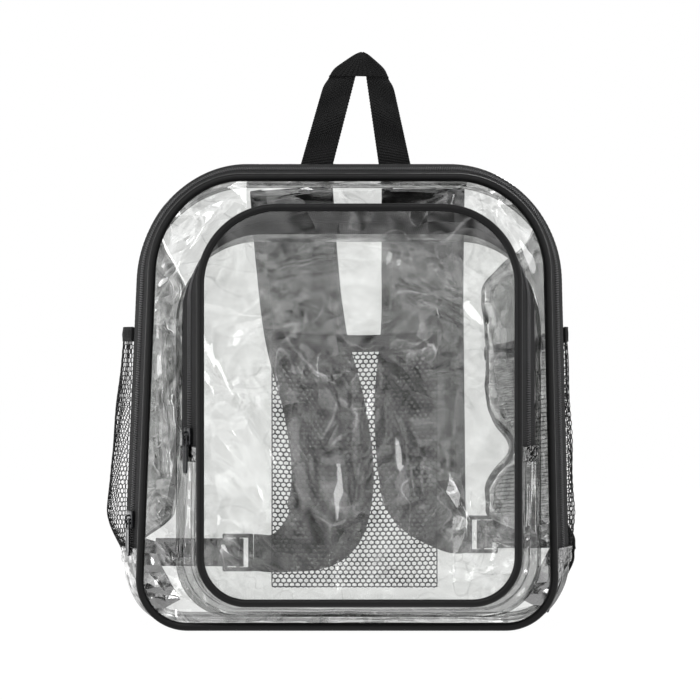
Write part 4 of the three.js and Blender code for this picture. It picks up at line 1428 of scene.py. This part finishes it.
ANCHOR_Y = BODY_DEPTH / 2 + BINDING_RADIUS + SEAM_GAP + WEBBING_WALL / 2
RUN_Y = ANCHOR_Y + WEBBING_WALL + SEAM_GAP
BUCKLE_WALL = 0.0032
BUCKLE_LENGTH = 0.022
BUCKLE_WIDTH = 0.027
BUCKLE_MIDDLE_BAR = 0.0034
BUCKLE_END_BAR = 0.0036
BUCKLE_Y = RUN_Y + WEBBING_WALL / 2 + SEAM_GAP + BUCKLE_WALL / 2
BACK_SEAM = BODY.outline(BODY_DEPTH)
WEBBING_COLUMNS = 12
FOOT_STEPS = 170
FOOT_BEND = 0.0004
RUN_STEPS = 210
TURN_STEPS = 12
TAIL_STEPS = 30
TAIL_LENGTH = 0.060
TAIL_LIFT = 0.0035
# Heights of the lower webbing, and how far inside the back seam's edge its buckle, anchor and fold lie.
SIDES = {
    "left": {
        "side": -1,
        "edge": -BACK_SEAM.left,
        "height": 0.046,
        "buckle": 0.0795,
        "anchor": 0.0295,
        "fold": 0.0085,
    },
    "right": {
        "side": 1,
        "edge": BACK_SEAM.right,
        "height": 0.059,
        "buckle": 0.0605,
        "anchor": 0.0225,
        "fold": -0.0035,
    },
}


def smooth_way(points, count):
    """Even steps along a centripetal spline through the points."""
    padded = [points[0] * 2 - points[1], *points, points[-1] * 2 - points[-2]]
    fine = []
    for i in range(1, len(padded) - 2):
        p = padded[i - 1 : i + 3]
        t = [0.0]
        for a, b in zip(p, p[1:]):
            t.append(t[-1] + max(1e-6, (b - a).length) ** 0.5)
        for k in range(24):
            s = t[1] + (t[2] - t[1]) * k / 24
            a1 = p[0] * ((t[1] - s) / (t[1] - t[0])) + p[1] * ((s - t[0]) / (t[1] - t[0]))
            a2 = p[1] * ((t[2] - s) / (t[2] - t[1])) + p[2] * ((s - t[1]) / (t[2] - t[1]))
            a3 = p[2] * ((t[3] - s) / (t[3] - t[2])) + p[3] * ((s - t[2]) / (t[3] - t[2]))
            b1 = a1 * ((t[2] - s) / (t[2] - t[0])) + a2 * ((s - t[0]) / (t[2] - t[0]))
            b2 = a2 * ((t[3] - s) / (t[3] - t[1])) + a3 * ((s - t[1]) / (t[3] - t[1]))
            fine.append(b1 * ((t[2] - s) / (t[2] - t[1])) + b2 * ((s - t[1]) / (t[2] - t[1])))
    fine.append(points[-1])
    array = np.array([tuple(p) for p in fine])
    run = run_lengths(array)
    even = np.linspace(0, run[-1], count)
    return [Vector([np.interp(s, run, array[:, k]) for k in range(3)]) for s in even]


def strap_frames(side, x, height, count):
    top = BODY.outline(BODY_DEPTH).top - 0.003
    points = []
    for row in STRAP_ROUTE:
        down = row["down"]
        over = row["right"] if side > 0 else -row["left"]
        behind = STRAP_TOP_Y + (BUCKLE_Y - STRAP_TOP_Y) * down + STRAP_BOW * row["out"]
        points.append(Vector((over, behind, top + (height - top) * down)))
    points.append(Vector((side * (x - BUCKLE_LENGTH / 2 - SEAM_GAP), BUCKLE_Y, height)))
    way = smooth_way(points, count)
    frames = []
    for i, here in enumerate(way):
        along = (way[min(count - 1, i + 1)] - way[max(0, i - 1)]).normalized()
        over = (REARWARD - along * REARWARD.dot(along)).normalized()
        frames.append((here, along, over, along.cross(over).normalized()))
    return frames


def strap_size(share):
    near = smoothstep(share, 0.8, 0.97)
    return (
        STRAP_WIDTH + (STRAP_TIP_WIDTH - STRAP_WIDTH) * near,
        STRAP_THICKNESS + (STRAP_TIP_THICKNESS - STRAP_THICKNESS) * near,
    )


def strap_pad(name, frames, seed):
    """The padded body of a strap: crowned cloth on both faces that pulls in towards its bound edges."""
    count = len(frames)
    rows = []
    for i, (here, _, over, across) in enumerate(frames):
        share = i / (count - 1)
        width, thick = strap_size(share)
        ends = min(1.0, min(share, 1 - share) / 0.02)
        row = []
        for k in range(PAD_AROUND + 1):
            angle = 2 * math.pi * k / PAD_AROUND
            a = math.copysign(abs(math.cos(angle)) ** 0.55, math.cos(angle)) / 2
            b = math.copysign(abs(math.sin(angle)) ** 0.75, math.sin(angle)) / 2
            place = here + across * (a * (width - 0.0016))
            pucker = 0.0005 * noise.noise(Vector((share * 60, a * 7, seed + b)))
            soft = (1 - (2 * a) ** 6) * 0.96
            crown = b * thick * (0.62 + 0.38 * soft) * (0.85 + 0.15 * ends)
            place += over * (crown + pucker * math.copysign(1, b))
            row.append(place)
        rows.append(row)
    obj = sheet(name, rows)
    close_ends(obj)
    return obj


def close_ends(obj):
    """Merges a wrapped grid's seam and caps its open ends."""
    choose(obj)
    bpy.ops.object.mode_set(mode="EDIT")
    bpy.ops.mesh.select_all(action="SELECT")
    bpy.ops.mesh.remove_doubles(threshold=1e-6)
    bpy.ops.mesh.select_all(action="DESELECT")
    bpy.ops.mesh.select_mode(type="EDGE")
    bpy.ops.mesh.select_non_manifold(extend=False)
    bpy.ops.mesh.fill_holes(sides=0)
    bpy.ops.mesh.select_all(action="SELECT")
    bpy.ops.mesh.normals_make_consistent(inside=False)
    bpy.ops.object.mode_set(mode="OBJECT")
    bpy.ops.object.shade_smooth()


def strap_binding(name, frames, edge):
    """Binding tape folded round one edge of a strap."""
    rows = []
    for i, (here, _, over, across) in enumerate(frames):
        share = i / (len(frames) - 1)
        width, thick = strap_size(share)
        row = []
        for k in range(17):
            turn = -1 + 2 * k / 16
            inward = BINDING_REACH * max(0.0, (abs(turn) - 0.22) / 0.78)
            lift = thick * 0.36 * min(1.0, abs(turn) / 0.22) ** 0.6 + 0.0012 * (inward / BINDING_REACH)
            raised = math.copysign(lift, turn) if turn else 0
            row.append(here + across * (edge * (width / 2 - inward)) + over * raised)
        rows.append(row)
    obj = sheet(name, rows)
    face_away(obj, frames)
    thicken(obj, 0.0007, 1)
    return obj


def face_away(obj, frames):
    """Turns a wrapped strip's faces away from the strap's middle line."""
    middle = sum((f[0] for f in frames), Vector()) / len(frames)
    face_outward(obj, middle)


def strap_stitches(name, frames, inset):
    seats = []
    total = sum((b[0] - a[0]).length for a, b in zip(frames, frames[1:]))
    count = int(total / sizes().stitch_pitch)
    for edge in (-1, 1):
        for face in (-1, 1):
            for k in range(1, count - 1):
                place = k / count * (len(frames) - 1)
                i = int(place)
                here, along, over, across = frames[i]
                here = here.lerp(frames[min(i + 1, len(frames) - 1)][0], place - i)
                width, thick = strap_size(k / count)
                raised = face * (thick * 0.5 * 0.93 + 0.0003)
                spot = here + across * (edge * (width / 2 - inset)) + over * raised
                seats.append((spot, along, across, over * face))
    return scattered(name, bead(sizes().stitch_length, 0.0006, 0.0006), seats)


class BAG_OT_straps(bpy.types.Operator):
    """Makes the padded shoulder straps with bound and stitched edges"""

    bl_idname = "bag.straps"
    bl_label = "Shoulder Straps"

    def execute(self, context):
        for name, s in SIDES.items():
            frames = strap_frames(s["side"], s["edge"] - s["buckle"], s["height"], STRAP_STEPS)
            pad = strap_pad(name + "_shoulder_strap", frames, s["height"] * 90)
            piece(pad, finish_of("padding"), replaces=[name + "_strap"])
            edges = [strap_binding(name + "_edge_tape", frames, edge) for edge in (-1, 1)]
            bound = join(name + "_strap_binding", edges)
            piece(bound, finish_of("binding"))
            sewn = strap_stitches(name + "_strap_stitches", frames, STITCH_INSET)
            piece(sewn, finish_of("thread"))
        return {"FINISHED"}


def fold_cross(point, first, second, width):
    """A fold's cross line, between a run's direction before it and after it."""
    line = (first + second).normalized()
    normal = Vector((-first.y, first.x)) * (width / 2)
    reach = (normal.x * first.y - normal.y * first.x) / (line.x * first.y - line.y * first.x)
    return point + line * reach, point - line * reach


class BAG_OT_webbing(bpy.types.Operator):
    """Makes the lower webbing, from the bottom corners round the buckles"""

    bl_idname = "bag.webbing"
    bl_label = "Lower Webbing"

    def execute(self, context):
        half = WEBBING_WIDTH / 2
        for name, s in SIDES.items():
            side = s["side"]
            buckle_x = side * (s["edge"] - s["buckle"])
            turn_x = buckle_x - side * (BUCKLE_MIDDLE_BAR / 2 - 0.0008)
            anchor = Vector((side * (s["edge"] - s["anchor"]), 0.008))
            fold = Vector((side * (s["edge"] - s["fold"]), s["height"]))
            bar = Vector((turn_x, s["height"]))
            first = (fold - anchor).normalized()
            second = (bar - fold).normalized()
            start = Vector((-first.y, first.x)) * half
            stop = Vector((-second.y, second.x)) * half
            foot = (anchor + start, anchor - start)
            cross = fold_cross(fold, first, second, WEBBING_WIDTH)
            end = (bar + stop, bar - stop)
            push = (first - second).normalized()
            rows = run_rows(foot, cross, ANCHOR_Y, FOOT_STEPS, WEBBING_COLUMNS, bend=FOOT_BEND)
            rows += fold_rows(cross, ANCHOR_Y, RUN_Y, push, WEBBING_COLUMNS)
            rows += run_rows(cross, end, RUN_Y, RUN_STEPS, WEBBING_COLUMNS)
            outermost = max(cross, key=lambda point: side * point.x)
            for row in rows:
                for place in row:
                    soften_corner(place, outermost, Vector((-side * 0.004, 0)), 0.007)
            radius = BUCKLE_Y - RUN_Y
            for i in range(1, TURN_STEPS):
                angle = math.pi * i / TURN_STEPS
                x = turn_x - side * radius * math.sin(angle)
                y = BUCKLE_Y - radius * math.cos(angle)
                rows.append([Vector((x, y, p.z)) for p in rows[-1]])
            tail_y = BUCKLE_Y + radius
            for i in range(TAIL_STEPS + 1):
                x = turn_x + side * TAIL_LENGTH * i / TAIL_STEPS
                lift = TAIL_LIFT * (i / TAIL_STEPS) ** 2
                rows.append([Vector((x, tail_y + lift, p.z)) for p in rows[-1]])
            strip = sheet(name + "_lower_webbing", rows)
            thicken(strip, WEBBING_WALL, 0)
            recalculate(strip)
            piece(strip, finish_of("webbing"), replaces=[name + "_webbing"])
            bpy.ops.object.shade_smooth_by_angle(angle=math.radians(40))
            lock = buckle(name, buckle_x, s["height"])
            piece(lock, finish_of("buckle"), replaces=[name + "_buckle"])
        return {"FINISHED"}


def bar_of(width, length, height, place, bevel):
    deselect()
    bpy.ops.mesh.primitive_cube_add(size=1, location=place, scale=(width, length, height))
    obj = bake_place(bpy.context.object)
    apply_modifier(obj, "BEVEL", width=bevel, segments=3, limit_method="ANGLE")
    return obj


def assembled(name, parts, degrees):
    """Parts joined into one piece, smooth but for edges sharper than an angle."""
    obj = join(name, parts)
    bpy.ops.object.shade_smooth_by_angle(angle=math.radians(degrees))
    return obj


def buckle(name, x, height):
    """A ladder lock: two side rails and three bars, the middle one a little thinner."""
    rail = (BUCKLE_WIDTH - WEBBING_WIDTH - 0.0012) / 2
    reach = (BUCKLE_LENGTH - BUCKLE_END_BAR) / 2
    parts = []
    for end in (-1, 1):
        rail_place = (x, BUCKLE_Y, height + end * (BUCKLE_WIDTH - rail) / 2)
        parts.append(bar_of(BUCKLE_LENGTH, BUCKLE_WALL, rail, rail_place, 0.0009))
        bar_place = (x + end * reach, BUCKLE_Y, height)
        parts.append(bar_of(BUCKLE_END_BAR, BUCKLE_WALL, BUCKLE_WIDTH - 0.001, bar_place, 0.0009))
    thin = 0.0006
    middle = (x, BUCKLE_Y, height)
    parts.append(bar_of(BUCKLE_MIDDLE_BAR - thin, BUCKLE_WALL - thin, BUCKLE_WIDTH - 0.002, middle, 0.0007))
    return assembled(name + "_ladder_lock", parts, 35)


# Sliders

BODY_SLIDER_HEIGHT = 0.075
POCKET_SLIDER_HEIGHT = 0.133
SLIDER_WIDTH = 0.0104
SLIDER_LENGTH = 0.012
SLIDER_FOOT = TAPE_WALL + 0.00035
SLIDER_WALL = 0.0015
BAIL_TUNNEL = 0.0023


def slider_seat(form, height, depth):
    """The place and axes of a slider on the left wall: X across the tape, Y up, Z straight out."""

    def wall(place):
        return form.leaned(form.outline(place).left, height)

    slope = (wall(depth + 0.0005) - wall(depth - 0.0005)) / 0.001
    rear = Vector((slope, 1, 0)).normalized()
    outward = Vector((-rear.y, rear.x, 0))
    turn = Matrix((-rear, UP, outward)).transposed().to_4x4()
    return Matrix.Translation(Vector((wall(depth), form.front_y + depth, height))) @ turn


def fine_box(place, size, cuts):
    """A box whose faces are cut up, so that it can be shaped."""
    deselect()
    bpy.ops.mesh.primitive_cube_add(size=1, location=place, scale=size)
    box = bake_place(bpy.context.object)
    bpy.ops.object.mode_set(mode="EDIT")
    bpy.ops.mesh.select_all(action="SELECT")
    bpy.ops.mesh.subdivide(number_cuts=cuts)
    bpy.ops.object.mode_set(mode="OBJECT")
    return box


def bevel_edges(obj, width, degrees):
    angle = math.radians(degrees)
    apply_modifier(obj, "BEVEL", width=width, segments=2, limit_method="ANGLE", angle_limit=angle)


def slider_body(name):
    """A slider: a waisted top plate with side flanges and a bail for the pull."""
    top = SLIDER_FOOT + SLIDER_WALL
    size = (SLIDER_WIDTH, SLIDER_LENGTH, SLIDER_WALL)
    plate = fine_box((0, 0, (SLIDER_FOOT + top) / 2), size, 6)
    places = coordinates(plate)
    along = places[:, 1] / (SLIDER_LENGTH / 2)
    places[:, 0] *= 1 - 0.2 * np.maximum(0, -along) ** 2 - 0.08 * np.maximum(0, along) ** 2
    places[:, 2] += 0.0004 * (1 - (places[:, 0] / (SLIDER_WIDTH / 2)) ** 2) * (places[:, 2] > top - 0.0003)
    set_coordinates(plate, places)
    bevel_edges(plate, 0.0004, 50)
    parts = [plate]
    for end in (-1, 1):
        flange_place = (end * 0.0044, 0, (top + 0.0005) / 2)
        parts.append(bar_of(0.0012, 0.0108, top - 0.0005, flange_place, 0.0004))
    arch = []
    for i in range(15):
        angle = math.pi * i / 14
        rise = (BAIL_TUNNEL + 0.0007) * math.sin(angle) ** 0.6
        arch.append(Vector((0, 0.0029 * math.cos(angle), top - 0.0002 + rise)))
    parts.append(tube(name + "_bail", arch, 0.00068, False, 2))
    return assembled(name, parts, 40)


def pull_tag(name):
    """A flat pull that hangs from a bar, with a window at its head and a pressed rim."""
    parts = [bar_of(0.0066, 0.0015, 0.0014, (0, 0, 0), 0.0006)]
    for end in (-1, 1):
        parts.append(bar_of(0.0012, 0.0068, 0.0013, (end * 0.0028, -0.0031, 0), 0.0005))
    tag = fine_box((0, -0.0153, 0), (0.0066, 0.0190, 0.0012), 9)
    places = coordinates(tag)
    low = np.clip((-places[:, 1] - 0.0195) / 0.0053, 0, 1)
    places[:, 0] *= np.sqrt(np.maximum(0.0, 1 - 0.72 * low**2.2))
    inside = (np.abs(places[:, 0]) < 0.0021) & (np.abs(places[:, 1] + 0.0155) < 0.0072)
    places[:, 2] = np.where(inside, places[:, 2] * 0.5, places[:, 2])
    set_coordinates(tag, places)
    bevel_edges(tag, 0.00035, 40)
    parts.append(tag)
    return assembled(name, parts, 40)


class BAG_OT_sliders(bpy.types.Operator):
    """Makes both zip sliders and their pulls"""

    bl_idname = "bag.sliders"
    bl_label = "Sliders and Pulls"

    def execute(self, context):
        spots = [
            ("body", BODY, BODY_ZIP["coil"] + COIL_WIDTH / 2, BODY_SLIDER_HEIGHT),
            ("pocket", POCKET, POCKET_ZIP["coil"] + COIL_WIDTH / 2, POCKET_SLIDER_HEIGHT),
        ]
        for prefix, form, depth, height in spots:
            seat = slider_seat(form, height, depth)
            runner = slider_body(prefix + "_zip_slider")
            runner.data.transform(seat)
            piece(runner, finish_of("enamel"), replaces=[prefix + "_slider"])
            tag = pull_tag(prefix + "_zip_pull")
            lift = SLIDER_FOOT + SLIDER_WALL + BAIL_TUNNEL / 2
            tag.data.transform(seat @ Matrix.Translation((0, 0, lift)))
            piece(tag, finish_of("enamel"), prefix + "_pull", [prefix + "_pull"])
        return {"FINISHED"}


# Stage

CAMERA_DISTANCE = 2.2
CAMERA_HEIGHT = 0.191
VIEW_WIDTH = 0.4823
WHITE = (1, 1, 1, 1)
# Each soft light's name, place, width and height, and power in watts.
LIGHTS = (
    ("left_box", (-1.05, -2.0, 0.55), (0.42, 1.5), 9),
    ("right_box", (1.25, -1.8, 0.45), (0.4, 1.5), 8),
    ("top_box", (-0.2, -1.1, 1.5), (1.1, 0.35), 9),
    ("left_side", (-1.8, -0.4, 0.5), (0.4, 1.2), 8),
    ("right_side", (1.8, -0.3, 0.6), (0.4, 1.2), 8),
    ("rear_box", (0.5, 2.0, 0.7), (0.6, 1.4), 9),
)


def floor_material():
    """A pale floor whose mirror image in the film is mottled, and brighter towards the left."""
    finish, n = new_material("Studio Floor")
    place = n.add("ShaderNodeTexCoord").outputs["Object"]
    clouds = n.clouds(place, 3.2, Detail=1.0)["Fac"]
    across = n.add("ShaderNodeSeparateXYZ", {0: place}).outputs[0]
    low_light = n.remap(across, -0.12, -0.42, 0.0, 1.3, interpolation_type="SMOOTHSTEP")
    mirrored = n.math("ADD", n.spread(clouds, 0.15, 1.6), low_light)
    glossy = n.add("ShaderNodeLightPath").outputs["Is Glossy Ray"]
    strength = n.add("ShaderNodeMix", {"Factor": glossy, 2: 0.99, 3: mirrored}, data_type="FLOAT")
    surface = {
        "Base Color": (0.04, 0.04, 0.04, 1),
        "Roughness": 0.9,
        "Specular IOR Level": 0.0,
        "Emission Color": WHITE,
        "Emission Strength": strength.outputs[0],
    }
    shader = n.add("ShaderNodeBsdfPrincipled", surface)
    n.add("ShaderNodeOutputMaterial", {"Surface": shader.outputs[0]})
    return finish


def studio_world():
    """White to the camera, dim as a light, and mottled to the film's mirror."""
    world = bpy.data.worlds.new("Studio")
    world.use_nodes = True
    world.node_tree.nodes.clear()
    n = Nodes(world.node_tree)
    way = n.add("ShaderNodeTexCoord").outputs["Generated"]
    clouds = n.clouds(way, 5.0, Detail=1.0, Roughness=0.4)["Fac"]
    strengths = (1.0, 0.24, n.spread(clouds, 0.05, 1.95))
    seen, lighting, mirrored = (
        n.add("ShaderNodeBackground", {"Color": WHITE, "Strength": strength}).outputs[0]
        for strength in strengths
    )
    path = n.add("ShaderNodeLightPath").outputs
    unseen = n.add("ShaderNodeMixShader", {0: path["Is Glossy Ray"], 1: lighting, 2: mirrored})
    mix = n.add("ShaderNodeMixShader", {0: path["Is Camera Ray"], 1: unseen.outputs[0], 2: seen})
    n.add("ShaderNodeOutputWorld", {"Surface": mix.outputs[0]})
    return world


def area_light(name, place, size, power):
    data = bpy.data.lights.new(name, "AREA")
    data.shape = "RECTANGLE"
    data.size, data.size_y = size
    data.energy = power
    obj = bpy.data.objects.new(name, data)
    obj.location = place
    obj.rotation_euler = (Vector((0, 0, 0.18)) - Vector(place)).to_track_quat("-Z", "Y").to_euler()
    bpy.context.collection.objects.link(obj)


class BAG_OT_stage(bpy.types.Operator):
    """Sets up the pale floor, the soft light and the camera"""

    bl_idname = "bag.stage"
    bl_label = "Stage"

    def execute(self, context):
        deselect()
        bpy.ops.mesh.primitive_circle_add(vertices=64, radius=9, fill_type="NGON", location=(0, 0, 0))
        floor = bpy.context.object
        floor.name = "studio_floor"
        floor.data.materials.append(floor_material())
        scene = context.scene
        scene.world = studio_world()
        scene.view_settings.view_transform = "Standard"
        scene.view_settings.look = "None"
        scene.cycles.transparent_max_bounces = 24
        scene.cycles.caustics_reflective = False
        for light in LIGHTS:
            area_light(*light)
        data = bpy.data.cameras.new("view")
        data.sensor_width = 36
        data.lens = 36 * CAMERA_DISTANCE / VIEW_WIDTH
        camera = bpy.data.objects.new("view", data)
        camera.location = (0.0003, -0.024 - CAMERA_DISTANCE, CAMERA_HEIGHT)
        camera.rotation_euler = (math.pi / 2, 0, 0)
        scene.collection.objects.link(camera)
        scene.camera = camera
        return {"FINISHED"}


class BAG_PT_panel(bpy.types.Panel):
    """Lists the pieces in the sidebar"""

    bl_idname = "BAG_PT_panel"
    bl_label = "Clear Backpack"
    bl_space_type = "VIEW_3D"
    bl_region_type = "UI"
    bl_category = "Backpack"

    def draw(self, context):
        for maker in MAKERS:
            self.layout.operator(maker.bl_idname)
        for group in (context.scene.bag_sizes, context.scene.bag_colours):
            for key in type(group).__annotations__:
                self.layout.prop(group, key)


MAKERS = (
    BAG_OT_stage,
    BAG_OT_film,
    BAG_OT_piping,
    BAG_OT_zippers,
    BAG_OT_front_pocket,
    BAG_OT_side_pockets,
    BAG_OT_inner_pocket,
    BAG_OT_handle,
    BAG_OT_straps,
    BAG_OT_webbing,
    BAG_OT_sliders,
)
CLASSES = (BagSizes, BagColours, *MAKERS, BAG_PT_panel)


def register():
    for cls in CLASSES:
        bpy.utils.register_class(cls)
    bpy.types.Scene.bag_sizes = PointerProperty(type=BagSizes)
    bpy.types.Scene.bag_colours = PointerProperty(type=BagColours)


def unregister():
    del bpy.types.Scene.bag_colours
    del bpy.types.Scene.bag_sizes
    for cls in reversed(CLASSES):
        bpy.utils.unregister_class(cls)


def main():
    register()
    for maker in MAKERS:
        family, name = maker.bl_idname.split(".")
        getattr(getattr(bpy.ops, family), name)()


if __name__ == "__main__":
    main()
